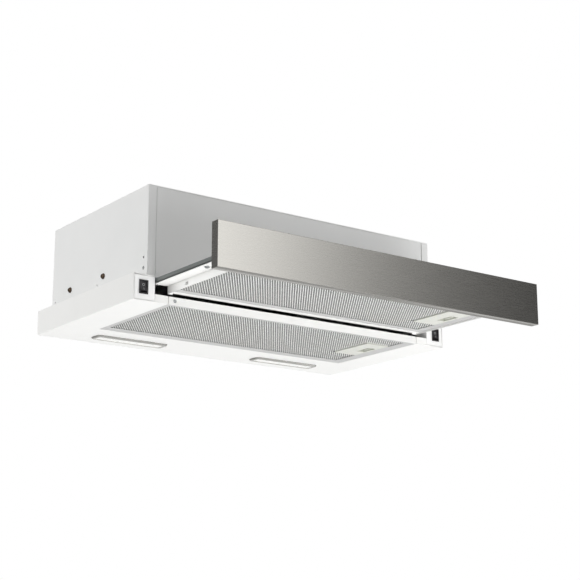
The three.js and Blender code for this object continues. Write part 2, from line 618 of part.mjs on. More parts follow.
function buildImpeller() {
  const half = IMPELLER_LENGTH / 2;
  const discHalf = END_RING / 2;
  let wheel = join(
    rod('x', IMPELLER_RADIUS, [-discHalf, discHalf], axle, BLOWER_ROUND),
    rod('x', HUB_RADIUS, around(0, HUB_LENGTH), axle),
  );
  for (const end of [-half, half - END_RING]) {
    const ring = cut(
      rod('x', IMPELLER_RADIUS, [end, end + END_RING], axle, BLOWER_ROUND),
      rod('x', IMPELLER_RADIUS - BLADE_CHORD, grown([end, end + END_RING], PAST), axle,
        BLOWER_ROUND),
    );
    wheel = join(wheel, ring);
  }
  const bladeRadius = IMPELLER_RADIUS - BLADE_CHORD / 2;
  for (let index = 0; index < IMPELLER_BLADES; index += 1) {
    const blade = new THREE.BoxGeometry(IMPELLER_LENGTH - END_RING, BLADE_THICKNESS,
      BLADE_CHORD - BLADE_THICKNESS);
    blade.rotateX(BLADE_PITCH);
    blade.translate(0, 0, bladeRadius);
    blade.rotateX((index / IMPELLER_BLADES) * 2 * Math.PI);
    blade.translate(0, blowerY, AXLE_Z);
    wheel = join(wheel, solidOf(blade));
  }
  return cut(wheel, rod('x', SHAFT_RADIUS + GAP, grown(around(0, HUB_LENGTH), PAST), axle));
}

addPiece(hood, 'impeller', buildImpeller(), whitePlastic);

const bracketX = SCROLL_WIDTH / 2 + GAP;
const motorX = bracketX + BRACKET_THICKNESS + GAP;

addPiece(hood, 'motor_shaft', rod('x', SHAFT_RADIUS,
  [-HUB_LENGTH / 2, motorX + MOTOR_BORE_DEPTH - GAP], axle), zincSteel);

function buildMotorBracket() {
  const span = [bracketX, bracketX + BRACKET_THICKNESS];
  let bracket = rod('x', BRACKET_HUB_RADIUS, span, axle, BLOWER_ROUND);
  for (let arm = 0; arm < BRACKET_ARMS; arm += 1) {
    const beam = new THREE.BoxGeometry(BRACKET_THICKNESS, BRACKET_ARM, BRACKET_REACH);
    beam.translate(0, 0, BRACKET_REACH / 2);
    beam.rotateX(Math.PI + (arm / BRACKET_ARMS) * 2 * Math.PI);
    beam.translate(bracketX + BRACKET_THICKNESS / 2, blowerY, AXLE_Z);
    bracket = join(bracket, solidOf(beam));
  }
  return cut(bracket, rod('x', SHAFT_RADIUS + RUNNING_GAP, grown(span, PAST), axle));
}

addPiece(hood, 'motor_bracket', buildMotorBracket(), zincSteel);

function buildMotor() {
  const body = turned([
    [0, 0],
    [MOTOR_RADIUS - MOTOR_CHAMFER, 0],
    [MOTOR_RADIUS, MOTOR_CHAMFER],
    [MOTOR_RADIUS, MOTOR_LENGTH - MOTOR_CHAMFER],
    [MOTOR_RADIUS - MOTOR_CHAMFER, MOTOR_LENGTH],
    [0, MOTOR_LENGTH],
  ], X, [motorX, ...axle], BLOWER_ROUND);
  return cut(body, rod('x', SHAFT_RADIUS + GAP, [motorX - PAST, motorX + MOTOR_BORE_DEPTH], axle));
}

addPiece(hood, 'motor', buildMotor(), aluminium);

const capacitorY = blowerY - SCROLL_END_RADIUS - GAP - CAPACITOR_RADIUS;
addPiece(hood, 'run_capacitor', rod('x', CAPACITOR_RADIUS, around(0, CAPACITOR_LENGTH),
  [capacitorY, AXLE_Z + CAPACITOR_RISE], BLOWER_ROUND), whitePlastic);

// ---------------------------------------------------------------- Electrics

const terminalX = around(terminalPlace[0], TERMINAL_BOX.width);
const terminalY = around(terminalPlace[1], TERMINAL_BOX.depth);
const terminalZ = [PANEL_TOP - TERMINAL_BOX.height, PANEL_TOP];

const terminalBox = cut(
  block(terminalX, terminalY, terminalZ),
  block(grown(terminalX, -TERMINAL_WALL), grown(terminalY, -TERMINAL_WALL),
    [terminalZ[0] - PAST, terminalZ[1] - TERMINAL_WALL]),
  rod('z', GLAND_SHANK_RADIUS + GAP, grown(terminalZ, PAST), terminalPlace),
);
addPiece(hood, 'terminal_box', terminalBox, whitePlastic);

const lidTop = terminalZ[0] - GAP;
addPiece(hood, 'terminal_box_lid', block(terminalX, terminalY, [lidTop - TERMINAL_WALL, lidTop]),
  whitePlastic);

const glandSeat = BOX_TOP + GAP;
const glandBottom = PANEL_TOP - GLAND_REACH;
const domeBase = glandSeat + GLAND_FLANGE_THICKNESS;
const domeTop = glandSeat + GLAND_DOME_HEIGHT;
const cableGland = turned([
  [GLAND_BORE_RADIUS, glandBottom],
  [GLAND_SHANK_RADIUS, glandBottom],
  [GLAND_SHANK_RADIUS, glandSeat],
  [GLAND_FLANGE_RADIUS, glandSeat],
  [GLAND_FLANGE_RADIUS, domeBase],
  [GLAND_DOME_RADIUS, domeBase],
  [GLAND_MOUTH_RADIUS, domeTop],
  [GLAND_BORE_RADIUS, domeTop],
  [GLAND_BORE_RADIUS, glandBottom],
], Z, [...terminalPlace, 0]);
addPiece(hood, 'cable_gland', cableGland, blackPlastic);

const lightDriver = block(around(HALF_BOX - DRIVER.fromSide, DRIVER.width),
  around(FRAME_DEPTH - DRIVER.fromRear, DRIVER.depth), [PANEL_TOP - DRIVER.height, PANEL_TOP]);
addPiece(hood, 'light_driver', lightDriver, whitePlastic);

// ---------------------------------------------------------------- Lights

// The face of the trim: a rectangle with round corners, seen from below.
function trimFace(side) {
  const [x0, x1] = grown(lightSpanX(side), -TRIM_SLOPE - TRIM_CORNER);
  const [y0, y1] = grown(lightSpanY, -TRIM_SLOPE - TRIM_CORNER);
  const face = new THREE.Shape();
  face.absarc(x1, y0, TRIM_CORNER, -Math.PI / 2, 0);
  face.absarc(x1, y1, TRIM_CORNER, 0, Math.PI / 2);
  face.absarc(x0, y1, TRIM_CORNER, Math.PI / 2, Math.PI);
  face.absarc(x0, y0, TRIM_CORNER, Math.PI, Math.PI * 1.5);
  return face;
}

// The housing goes up through its window until the trim lies on the frame, and a clip at
// each end holds it there.
function buildLightHousing(side) {
  const outerX = lightSpanX(side);
  const lean = LIGHT_DROP - GAP - TRIM_EDGE;
  const trim = new THREE.ExtrudeGeometry(trimFace(side), { depth: LIGHT_DROP,
    bevelThickness: lean, bevelSize: TRIM_SLOPE, bevelSegments: 1, curveSegments: TRIM_STEPS });
  trim.translate(0, 0, lean - LIGHT_DROP);
  const overTrim = block(grown(outerX, PAST), grown(lightSpanY, PAST), [-GAP, LIGHT_HEIGHT]);
  const bodyX = grown(outerX, -TRIM_LAP);
  const body = block(bodyX, grown(lightSpanY, -TRIM_LAP), [-LIGHT_DROP / 2, LIGHT_HEIGHT]);
  const clipZ = FRAME_SHEET + GAP;
  const clips = block(grown(bodyX, LIGHT_CLIP_REACH),
    around(middleOf(lightSpanY), LIGHT_CLIP_WIDTH), [clipZ, clipZ + LIGHT_CLIP_THICKNESS]);
  const hollow = block(grown(outerX, -TRIM_WIDTH), grown(lightSpanY, -TRIM_WIDTH),
    [-LIGHT_DROP - PAST, LIGHT_HEIGHT - LIGHT_BASE_THICKNESS]);
  return cut(join(cut(solidOf(trim), overTrim), body, clips), hollow);
}

for (const [side, name] of SIDES) {
  addPiece(hood, `${name}_light_housing`, buildLightHousing(side), zincSteel);
  const diffuserZ = LIGHT_RECESS - LIGHT_DROP;
  const diffuser = block(grown(lightSpanX(side), -TRIM_WIDTH - GAP),
    grown(lightSpanY, -TRIM_WIDTH - GAP), [diffuserZ, diffuserZ + DIFFUSER_THICKNESS]);
  addPiece(hood, `${name}_light_diffuser`, diffuser, frostedLens);
}

// ---------------------------------------------------------------- Switches

const bodyWindow = { width: SWITCH_BODY_WIDTH + 2 * GAP, height: SWITCH_BODY_HEIGHT + 2 * GAP };
const switchX = HALF_FRAME - SWITCH_INSET;
const switchZ = FRAME_HEIGHT / 2;
const bezelBack = -GAP;
const bezelFront = bezelBack - BEZEL_THICKNESS;
const cavityHalf = { x: ROCKER_WIDTH / 2 + GAP, z: ROCKER_HEIGHT / 2 + ROCKER_SWEEP };

function buildSwitchBlock(side) {
  const outerX = onSide(side, HALF_SLOT + GAP, HALF_FRAME - FRAME_SHEET - GAP);
  const outerZ = [FRAME_SHEET + GAP, LEDGE_Z - JOGGLE - GAP];
  return cut(
    block(outerX, [0, SWITCH_BLOCK_DEPTH], outerZ),
    block(grown(outerX, -SWITCH_WALL), [SWITCH_WALL, SWITCH_BLOCK_DEPTH + PAST],
      grown(outerZ, -SWITCH_WALL)),
    block(around(side * switchX, bodyWindow.width), grown([0, SWITCH_WALL], PAST),
      around(switchZ, bodyWindow.height)),
  );
}

function buildRockerHousing(side) {
  const centreX = side * switchX;
  const bezel = block(around(centreX, BEZEL_WIDTH), [bezelFront, bezelBack],
    around(switchZ, BEZEL_HEIGHT));
  const body = block(around(centreX, SWITCH_BODY_WIDTH), [bezelFront, SWITCH_BODY_DEPTH],
    around(switchZ, SWITCH_BODY_HEIGHT));
  const cavity = block([centreX - cavityHalf.x, centreX + cavityHalf.x],
    [bezelFront - PAST, SWITCH_CAVITY_DEPTH],
    [switchZ - cavityHalf.z, switchZ + cavityHalf.z]);
  const pivots = rod('x', TRUNNION_RADIUS + GAP,
    grown(around(centreX, SWITCH_BODY_WIDTH), PAST), [ROCKER_PIVOT_Y, switchZ]);
  return cut(join(bezel, body), cavity, pivots);
}

// The rocker is drawn level about its pivot and then tilted, so that its upper end is in: off.
function buildRocker(side) {
  const half = ROCKER_HEIGHT / 2;
  const outline = [
    point(-ROCKER_FACE, -half),
    point(ROCKER_BACK, -half),
    point(ROCKER_BACK, half),
    point(-ROCKER_FACE, half),
    point(-ROCKER_FACE + ROCKER_HOLLOW, 0),
  ];
  const tilted = outline.map((corner) => corner.rotateAround(point(0, 0), -ROCKER_TILT));
  const placed = tilted.map((corner) => point(corner.x + ROCKER_PIVOT_Y,
    corner.y + switchZ));
  const centreX = side * switchX;
  const trunnion = rod('x', TRUNNION_RADIUS, around(centreX, SWITCH_BODY_WIDTH - 2 * GAP),
    [ROCKER_PIVOT_Y, switchZ]);
  return join(prism(placed, 'x', around(centreX, ROCKER_WIDTH)), trunnion);
}

for (const [side, name] of SIDES) {
  addPiece(hood, `${name}_switch_block`, buildSwitchBlock(side), whitePlastic);
  addPiece(hood, `${name}_rocker_housing`, buildRockerHousing(side), blackPlastic);
  addPiece(hood, `${name}_rocker`, buildRocker(side), blackPlastic);
}

// ---------------------------------------------------------------- Slides

const channelOuterX = HALF_SLOT - GAP;
const channelWebX = channelOuterX - CHANNEL_SHEET;
const channelTopZ = [RUNNER_TOP + GAP, RUNNER_TOP + GAP + CHANNEL_SHEET];
const channelLowZ = [RUNNER_Z + RUNNER_FOOT_HEIGHT - GAP - CHANNEL_SHEET,
  RUNNER_Z + RUNNER_FOOT_HEIGHT - GAP];
const channelFrontY = LIP_THICKNESS;

function buildChannel(side) {
  const span = [channelFrontY, channelFrontY + SLIDE_LENGTH];
  return join(
    block(onSide(side, channelWebX, channelOuterX), span, [channelLowZ[0], channelTopZ[1]]),
    block(onSide(side, channelOuterX - CHANNEL_TOP_LIP, channelOuterX), span, channelTopZ),
    block(onSide(side, TONGUE_X + RUNNING_GAP, channelOuterX), span, channelLowZ),
  );
}

function buildRunner(side) {
  const span = [RUNNER_FRONT_Y, RUNNER_FRONT_Y + SLIDE_LENGTH];
  const body = block(onSide(side, RUNNER_FOOT_X, TONGUE_X), span, [RUNNER_Z, RUNNER_TOP]);
  const tongue = block(onSide(side, RUNNER_FOOT_X, TONGUE_END_X), span,
    [RUNNER_Z + RUNNER_FOOT_HEIGHT, RUNNER_TOP]);
  return cut(join(body, tongue), rod('z', PAN_SHANK_RADIUS + GAP,
    [RUNNER_Z - PAST, FLANGE_TOP + PAN_SHANK_LENGTH], [side * RUNNER_SCREW_X, RUNNER_SCREW_Y]));
}

for (const [side, name] of SIDES) {
  addPiece(hood, `${name}_slide_channel`, buildChannel(side), zincSteel);
  addPiece(drawer, `${name}_runner`, buildRunner(side), zincSteel);
  addPiece(drawer, `${name}_runner_screw`, screw(PAN_HEAD_RADIUS, PAN_HEAD_HEIGHT,
    PAN_SHANK_RADIUS, PAN_SHANK_LENGTH, Z,
    [side * RUNNER_SCREW_X, RUNNER_SCREW_Y, DRAWER_FLANGE_Z - GAP]), zincSteel);
}

// ---------------------------------------------------------------- Drawer frame, cover, fascia

const rimInnerX = HALF_RIM - DRAWER_SHEET;
const rimZ = [DRAWER_RIM_Z, FLANGE_TOP];
const sideRimZ = [DRAWER_RIM_Z - SIDE_RIM_DROP, FLANGE_TOP];
const drawerFilterY = [DRAWER_FRONT_Y + DRAWER_FRONT_MEMBER + RUNNING_GAP,
  DRAWER_REAR_Y - DRAWER_REAR_MEMBER - RUNNING_GAP];
const drawerFilterX = [-rimInnerX + RUNNING_GAP, rimInnerX - RUNNING_GAP];
const drawerFilterZ = DRAWER_RIM_Z + FILTER_RECESS;
const drawerPocketY = middleOf(drawerFilterY) + DRAWER_PLATE_SHIFT + POCKET_SHIFT;
const studX = HALF_SLOT - FASCIA_STUD_INSET;
const studZ = (FLANGE_TOP + COVER_TOP) / 2;
const lugY = (middle) => [-1, 1].map((end) => around(middle + end * LUG_SPACING / 2, LUG_WIDTH));
const latchZ = (base) => [base + MOULDING_WALL + GAP,
  base + MOULDING_WALL + GAP + LATCH_THICKNESS];

function buildDrawerFrame() {
  const depth = [DRAWER_FRONT_Y, DRAWER_REAR_Y];
  const rimX = [-HALF_RIM, HALF_RIM];
  const rimSheet = [DRAWER_RIM_Z, DRAWER_RIM_Z + DRAWER_SHEET];
  let frame = join(
    block(rimX, [DRAWER_REAR_Y - DRAWER_SHEET, DRAWER_REAR_Y], rimZ),
    block(rimX, [DRAWER_REAR_Y - DRAWER_REAR_MEMBER, DRAWER_REAR_Y], rimSheet),
    block(rimX, [DRAWER_FRONT_Y, DRAWER_FRONT_Y + DRAWER_FRONT_MEMBER], rimSheet),
    block([-HALF_FLANGE, HALF_FLANGE], [DRAWER_FRONT_Y, DRAWER_FRONT_Y + DRAWER_SHEET],
      [DRAWER_RIM_Z, COVER_TOP]),
  );
  for (const [side] of SIDES) {
    const step = block(onSide(side, rimInnerX, HALF_RIM), depth, sideRimZ);
    const tab = block(onSide(side, HALF_RIM - RIM_TAB_WIDTH, HALF_RIM),
      [DRAWER_REAR_Y - DRAWER_SHEET, DRAWER_REAR_Y], [sideRimZ[0], rimSheet[1]]);
    const flange = block(onSide(side, rimInnerX, HALF_FLANGE), depth,
      [DRAWER_FLANGE_Z, FLANGE_TOP]);
    frame = join(frame, step, tab, flange);
  }
  const lugWindows = lugY(middleOf(drawerFilterY)).map((span) =>
    block(grown([-HALF_RIM, -rimInnerX], PAST), grown(span, RUNNING_GAP),
      [drawerFilterZ + LUG_LIFT - RUNNING_GAP, drawerFilterZ + LUG_SWING_ROOM]));
  const latchWindow = block(grown([rimInnerX, HALF_RIM], PAST),
    grown(around(drawerPocketY, LATCH_WIDTH), RUNNING_GAP),
    grown(latchZ(drawerFilterZ), RUNNING_GAP));
  const screwHoles = SIDES.map(([side]) => rod('z', PAN_SHANK_RADIUS + GAP,
    grown([DRAWER_FLANGE_Z, FLANGE_TOP], PAST), [side * RUNNER_SCREW_X, RUNNER_SCREW_Y]));
  const studHoles = SIDES.map(([side]) => rod('y', PAN_SHANK_RADIUS + GAP,
    grown([DRAWER_FRONT_Y, DRAWER_FRONT_Y + DRAWER_SHEET], PAST), [side * studX, studZ]));
  return cut(frame, ...lugWindows, latchWindow, ...screwHoles, ...studHoles);
}

addPiece(drawer, 'drawer_frame', buildDrawerFrame(), whitePaint);

const coverY = [DRAWER_FRONT_Y + DRAWER_SHEET + GAP, DRAWER_REAR_Y];
let drawerCover = block([-HALF_COVER, HALF_COVER], coverY, [COVER_TOP - COVER_SHEET, COVER_TOP]);
for (const [side] of SIDES) {
  drawerCover = join(drawerCover, block(onSide(side, HALF_COVER - COVER_SHEET, HALF_COVER),
    coverY, [FLANGE_TOP + GAP, COVER_TOP]));
}
addPiece(drawer, 'drawer_cover', drawerCover, whitePaint);

const fasciaX = [-HALF_FRAME, HALF_FRAME];
const fasciaZ = [0, FASCIA_HEIGHT];
const fascia = cut(
  block(fasciaX, [FASCIA_FRONT_Y, FASCIA_BACK_Y], fasciaZ),
  block(grown(fasciaX, -FASCIA_SHEET), [FASCIA_FRONT_Y + FASCIA_SHEET, FASCIA_BACK_Y + PAST],
    grown(fasciaZ, -FASCIA_SHEET)),
);
addPiece(drawer, 'fascia', fascia, brushedSteel);

// Welded stud and nut that hold the fascia on the drawer's front.
for (const [side, name] of SIDES) {
  const seat = DRAWER_FRONT_Y + DRAWER_SHEET + GAP;
  const nutBack = seat + PAN_HEAD_HEIGHT;
  const stud = turned([
    [0, DRAWER_FRONT_Y],
    [PAN_SHANK_RADIUS, DRAWER_FRONT_Y],
    [PAN_SHANK_RADIUS, seat],
    [NUT_RADIUS, seat],
    [NUT_RADIUS, nutBack],
    [PAN_SHANK_RADIUS, nutBack],
    [PAN_SHANK_RADIUS, nutBack + PAN_SHANK_RADIUS],
    [0, nutBack + PAN_SHANK_RADIUS],
  ], Y, [side * studX, 0, studZ], HEXAGON);
  addPiece(drawer, `fascia_stud_${name}`, stud, zincSteel);
}

// ---------------------------------------------------------------- Grease filters

// A plate of expanded metal: rows of diamond holes, staggered from row to row.
function buildNet(xs, ys, zs, keepClear) {
  const sheet = new THREE.Shape([point(xs[0], ys[0]), point(xs[1], ys[0]), point(xs[1], ys[1]),
    point(xs[0], ys[1])]);
  const pitchX = (xs[1] - xs[0]) / (NET_COLUMNS + 0.5);
  const pitchY = (ys[1] - ys[0]) / NET_ROWS;
  const halfX = (pitchX - NET_STRAND) / 2;
  const halfY = (pitchY - NET_STRAND) / 2;
  for (let row = 0; row < NET_ROWS; row += 1) {
    for (let column = 0; column < NET_COLUMNS; column += 1) {
      const x = xs[0] + pitchX * (column + 0.5 + (row % 2) / 2);
      const y = ys[0] + pitchY * (row + 0.5);
      const inPlate = x + halfX > keepClear.x[0] - NET_STRAND
        && y + halfY > keepClear.y[0] - NET_STRAND && y - halfY < keepClear.y[1] + NET_STRAND;
      if (!inPlate) {
        sheet.holes.push(new THREE.Path([point(x - halfX, y), point(x, y - halfY),
          point(x + halfX, y), point(x, y + halfY)]));
      }
    }
  }
  return prism(sheet, 'z', zs);
}

// One cassette: a channel-section frame, its net, and the plate with a finger pocket from
// which a latch slides out through the right-hand side. Lugs on the left side are its hinge.
function addFilter(group, name, { xs, ys, z, borders, plateShift }) {
  const top = z + FILTER_THICKNESS;
  const innerX = [xs[0] + borders.left, xs[1] - borders.right];
  const innerY = [ys[0] + borders.front, ys[1] - borders.rear];
  const webX = grown(xs, -FILTER_SHEET);
  const webY = grown(ys, -FILTER_SHEET);
  const plateX = [innerX[1] - GAP - LATCH_PLATE_WIDTH, innerX[1] - GAP];
  const plateMiddle = middleOf(ys) + plateShift;
  const plateY = around(plateMiddle, LATCH_PLATE_DEPTH);
  const pocketX = [plateX[1] - POCKET_INSET - POCKET_WIDTH, plateX[1] - POCKET_INSET];
  const pocketY = around(plateMiddle + POCKET_SHIFT, POCKET_DEPTH);
  const barY = around(plateMiddle + POCKET_SHIFT, LATCH_WIDTH);
  const barZ = latchZ(z);

  const lugs = lugY(middleOf(ys)).map((span) =>
    block([xs[0] - LUG_REACH, xs[0] + FILTER_SHEET], span,
      [z + LUG_LIFT, z + LUG_LIFT + LUG_THICKNESS]));
  const frame = cut(
    join(block(xs, ys, [z, top]), ...lugs),
    block(innerX, innerY, grown([z, top], PAST)),
    block(webX, webY, [z + FILTER_SHEET, top - FILTER_SHEET]),
    block([innerX[1], xs[1] + PAST], grown(barY, RUNNING_GAP), grown(barZ, GAP)),
  );
  addPiece(group, `${name}_frame`, frame, aluminium);

  const netZ = [z + FILTER_SHEET + GAP, z + FILTER_SHEET + GAP + NET_THICKNESS];
  const notch = block([plateX[0] - GAP, xs[1]], grown(plateY, GAP), grown(netZ, PAST));
  const net = cut(buildNet(grown(webX, -GAP), grown(webY, -GAP), netZ, { x: plateX, y: plateY }),
    notch);
  addPiece(group, `${name}_net`, net, aluminium);

  const moulding = cut(
    block(plateX, plateY, [z, z + POCKET_HEIGHT]),
    block(grown(plateX, -MOULDING_WALL), grown(plateY, -MOULDING_WALL),
      [z + MOULDING_WALL, top]),
  );
  const cup = block(grown(pocketX, MOULDING_WALL), grown(pocketY, MOULDING_WALL),
    [z, z + POCKET_HEIGHT + MOULDING_WALL / 2]);
  const tongueY = [plateY[1] - LATCH_PLATE_DEPTH / 3, plateY[1] - MOULDING_WALL];
  const tongue = block([plateX[1] - MOULDING_WALL, innerX[1] + borders.right / 2], tongueY,
    [z + FILTER_SHEET + GAP, z + FILTER_SHEET + GAP + MOULDING_WALL]);
  const plate = cut(
    join(moulding, cup, tongue),
    block(pocketX, pocketY, [z - PAST, z + POCKET_HEIGHT - MOULDING_WALL / 2]),
    block(grown([pocketX[1], plateX[1]], PAST), grown(barY, RUNNING_GAP), grown(barZ, GAP)),
  );
  addPiece(group, `${name}_latch_plate`, plate, greyPlastic);

  const gripX = [pocketX[0] + LATCH_GRIP_X, pocketX[0] + LATCH_GRIP_X + LATCH_GRIP];
  const latch = join(
    block([gripX[0], xs[1] - GAP], barY, barZ),
    block(gripX, barY, [z + MOULDING_WALL / 2, z + POCKET_HEIGHT - MOULDING_WALL]),
  );
  addPiece(group, `${name}_latch`, latch, greyPlastic);
}

const lowerFilterX = [-HALF_OPENING + RUNNING_GAP, HALF_OPENING - RUNNING_GAP];
const lowerFilterY = [LOWER_FILTER_FRONT, OPENING_DEPTH - RUNNING_GAP];
addFilter(hood, 'lower_filter', {
  xs: lowerFilterX,
  ys: lowerFilterY,
  z: FILTER_RECESS,
  borders: LOWER_FILTER_BORDERS,
  plateShift: LOWER_PLATE_SHIFT,
});
addFilter(drawer, 'drawer_filter', {
  xs: drawerFilterX,
  ys: drawerFilterY,
  z: drawerFilterZ,
  borders: DRAWER_FILTER_BORDERS,
  plateShift: DRAWER_PLATE_SHIFT,
});

// ---------------------------------------------------------------- Origin

hood.position.y = -(FASCIA_FRONT_Y + FRAME_DEPTH) / 2;
hood.position.z = LIGHT_DROP;
const part = new THREE.Group();
part.add(hood);

export default part;
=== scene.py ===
"""A 60 cm pull-out range hood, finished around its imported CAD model.

Metres, +Z up: X runs across the hood, -Y points at the cook, and the drawer is drawn out.
Sizes are written in millimetres from the middle of the lower frame's front bottom edge, the
point that part.mjs measures from, and mm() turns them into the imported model's frame.
"""
import json
import math

import bmesh
import bpy
from mathutils import Matrix, Vector


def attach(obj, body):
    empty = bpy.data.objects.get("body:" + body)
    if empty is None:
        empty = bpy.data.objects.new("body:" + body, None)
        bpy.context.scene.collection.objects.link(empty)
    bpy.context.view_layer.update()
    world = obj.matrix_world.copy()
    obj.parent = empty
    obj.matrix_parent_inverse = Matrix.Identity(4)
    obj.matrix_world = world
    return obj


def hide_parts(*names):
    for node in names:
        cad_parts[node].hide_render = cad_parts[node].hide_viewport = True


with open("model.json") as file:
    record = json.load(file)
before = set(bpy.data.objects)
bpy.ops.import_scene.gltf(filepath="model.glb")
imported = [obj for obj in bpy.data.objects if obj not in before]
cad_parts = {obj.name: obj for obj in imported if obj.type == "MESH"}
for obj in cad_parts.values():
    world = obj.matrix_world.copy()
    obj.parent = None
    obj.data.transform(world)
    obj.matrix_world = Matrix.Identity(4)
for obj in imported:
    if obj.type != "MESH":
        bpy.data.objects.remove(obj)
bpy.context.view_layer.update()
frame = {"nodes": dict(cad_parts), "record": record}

nodes = frame["nodes"]

# ---------------------------------------------------------------- Camera
# The photograph is taken from below, left and in front of the hood, with a long lens. The
# camera was fitted to the corners of the frame, the box and the fascia.

camera_data = bpy.data.cameras.new("camera")
camera_data.sensor_width = 36
camera_data.lens = 86.4
camera = bpy.data.objects.new("camera", camera_data)
camera.location = (-1.2638, -1.7516, -0.4707)  # about 2.2 m from the hood's middle
camera.rotation_euler = (math.radians(104.021), 0, math.radians(-36.079))
bpy.context.scene.collection.objects.link(camera)
bpy.context.scene.camera = camera
bpy.context.scene.view_settings.view_transform = "Standard"

# ---------------------------------------------------------------- Studio
# A white room with soft light, strongest from below and from the left. What shiny metal
# reflects runs round the horizon from pale, in front, to a dark screen on the right.


def linear(hex_colour):
    """An sRGB colour such as "#f1f1ef" as a linear (r, g, b, 1)."""
    channels = [int(hex_colour[i:i + 2], 16) / 255 for i in (1, 3, 5)]
    return tuple(c / 12.92 if c <= 0.04045 else ((c + 0.055) / 1.055) ** 2.4
                 for c in channels) + (1.0,)


def add_node(tree, kind, inputs=None, **settings):
    """Adds a node. An input is given a value, a socket to link, or a list of sockets."""
    node = tree.nodes.new(kind)
    for name, value in settings.items():
        setattr(node, name, value)
    for name, value in (inputs or {}).items():
        if isinstance(value, bpy.types.NodeSocket):
            tree.links.new(value, node.inputs[name])
        elif isinstance(value, list):
            for socket in value:
                tree.links.new(socket, node.inputs[name])
        else:
            node.inputs[name].default_value = value
    return node


def grey(value):
    return (value, value, value, 1.0)


world = bpy.data.worlds.new("studio")
bpy.context.scene.world = world
world.use_nodes = True
room = world.node_tree
room.nodes.clear()
direction = add_node(room, "ShaderNodeTexCoord").outputs["Generated"]
sides = add_node(room, "ShaderNodeSeparateXYZ", {"Vector": direction})
towards_cook = add_node(room, "ShaderNodeMath", {0: sides.outputs["Y"], 1: -1.0},
                        operation="MULTIPLY")
bearing = add_node(room, "ShaderNodeMath", {0: sides.outputs["X"], 1: towards_cook.outputs[0]},
                   operation="ARCTAN2")
bearing_share = add_node(room, "ShaderNodeMapRange", {
    "Value": bearing.outputs[0], "From Min": -math.pi, "From Max": math.pi})
reflected = add_node(room, "ShaderNodeValToRGB", {"Fac": bearing_share.outputs["Result"]})
SCREENS = [(-180, 0.8), (-158, 0.2), (-130, 0.16), (-95, 0.8), (0, 1.9), (34, 2.1), (38.5, 0.55),
           (46, 0.05), (70, 0.03), (95, 0.65), (180, 0.9)]  # bearing from the cook, brightness
stops = reflected.color_ramp.elements
for index, (degrees, brightness) in enumerate(SCREENS):
    place = (degrees + 180) / 360
    stop = stops[index] if index < 2 else stops.new(place)
    stop.position = place
    stop.color = grey(brightness)
rays = add_node(room, "ShaderNodeLightPath").outputs
AMBIENT = 0.43
seen_in_metal = add_node(room, "ShaderNodeMixRGB", {
    "Fac": rays["Is Glossy Ray"], "Color1": grey(AMBIENT), "Color2": reflected.outputs["Color"]})
seen_through = add_node(room, "ShaderNodeMath", {
    0: rays["Is Camera Ray"], 1: rays["Is Transmission Ray"]}, operation="MAXIMUM")
seen = add_node(room, "ShaderNodeMixRGB", {
    "Fac": seen_through.outputs[0], "Color1": seen_in_metal.outputs[0], "Color2": grey(1.0)})
background = add_node(room, "ShaderNodeBackground", {"Color": seen.outputs[0], "Strength": 1.0})
add_node(room, "ShaderNodeOutputWorld", {"Surface": background.outputs["Background"]})

HOOD_MIDDLE = Vector((0, 0, 0.1))


def add_soft_box(name, place, size, watts, mirrored=False):
    lamp = bpy.data.lights.new(name, "AREA")
    lamp.size = size
    lamp.energy = watts
    holder = bpy.data.objects.new(name, lamp)
    holder.location = place
    holder.rotation_euler = (HOOD_MIDDLE - Vector(place)).to_track_quat("-Z", "Y").to_euler()
    holder.visible_camera = False
    holder.visible_glossy = mirrored
    bpy.context.scene.collection.objects.link(holder)


add_soft_box("soft_box_below", (0.25, -0.7, -2.0), 1.8, 27)
add_soft_box("soft_box_left", (-2.5, 0.85, 0.1), 1.4, 31)
add_soft_box("soft_box_front_below", (0.6, -2.2, -1.3), 1.6, 25)
add_soft_box("soft_box_right", (0.9, -0.9, 0.7), 0.8, 2.4)
# The fronts of the lights' chromed trims mirror this one.
add_soft_box("white_card_below", (1.77, -1.18, -2.3), 1.6, 7, mirrored=True)

FLOOR_Z = -2.4
FLOOR_HALF = 5.0
FLOOR_WHITE = 0.85  # share of plain white in what the camera sees; the rest takes shadows
floor_mesh = bpy.data.meshes.new("floor")
floor_mesh.from_pydata([(-FLOOR_HALF, -FLOOR_HALF, FLOOR_Z), (FLOOR_HALF, -FLOOR_HALF, FLOOR_Z),
                        (FLOOR_HALF, FLOOR_HALF, FLOOR_Z), (-FLOOR_HALF, FLOOR_HALF, FLOOR_Z)],
                       [], [(0, 1, 2, 3)])
floor = bpy.data.objects.new("floor", floor_mesh)
bpy.context.scene.collection.objects.link(floor)
floor_paint = bpy.data.materials.new("matt_white_floor")
floor_paint.use_nodes = True
floor_tree = floor_paint.node_tree
floor_tree.nodes.clear()
floor_rays = add_node(floor_tree, "ShaderNodeLightPath").outputs
floor_matt = add_node(floor_tree, "ShaderNodeBsdfDiffuse", {"Color": linear("#f4f4f4")})
floor_white = add_node(floor_tree, "ShaderNodeEmission", {"Color": grey(1.0), "Strength": 1.0})
floor_share = add_node(floor_tree, "ShaderNodeMath", {
    0: floor_rays["Is Camera Ray"], 1: FLOOR_WHITE}, operation="MULTIPLY")
floor_mix = add_node(floor_tree, "ShaderNodeMixShader", {
    0: floor_share.outputs[0], 1: floor_matt.outputs[0], 2: floor_white.outputs[0]})
add_node(floor_tree, "ShaderNodeOutputMaterial", {"Surface": floor_mix.outputs[0]})
floor_mesh.materials.append(floor_paint)

# ---------------------------------------------------------------- Lower frame
# The flat tray that fits under the cabinet: 1.5 mm steel sheet, folded up along its outer
# edges and powder-coated white after folding. Everything else hangs in it or stands on it.

MM = 0.001
HOOD_Y = -44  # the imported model's origin is the middle of the whole hood, drawer out,
HOOD_Z = 3    # and as low as the trims of the lights


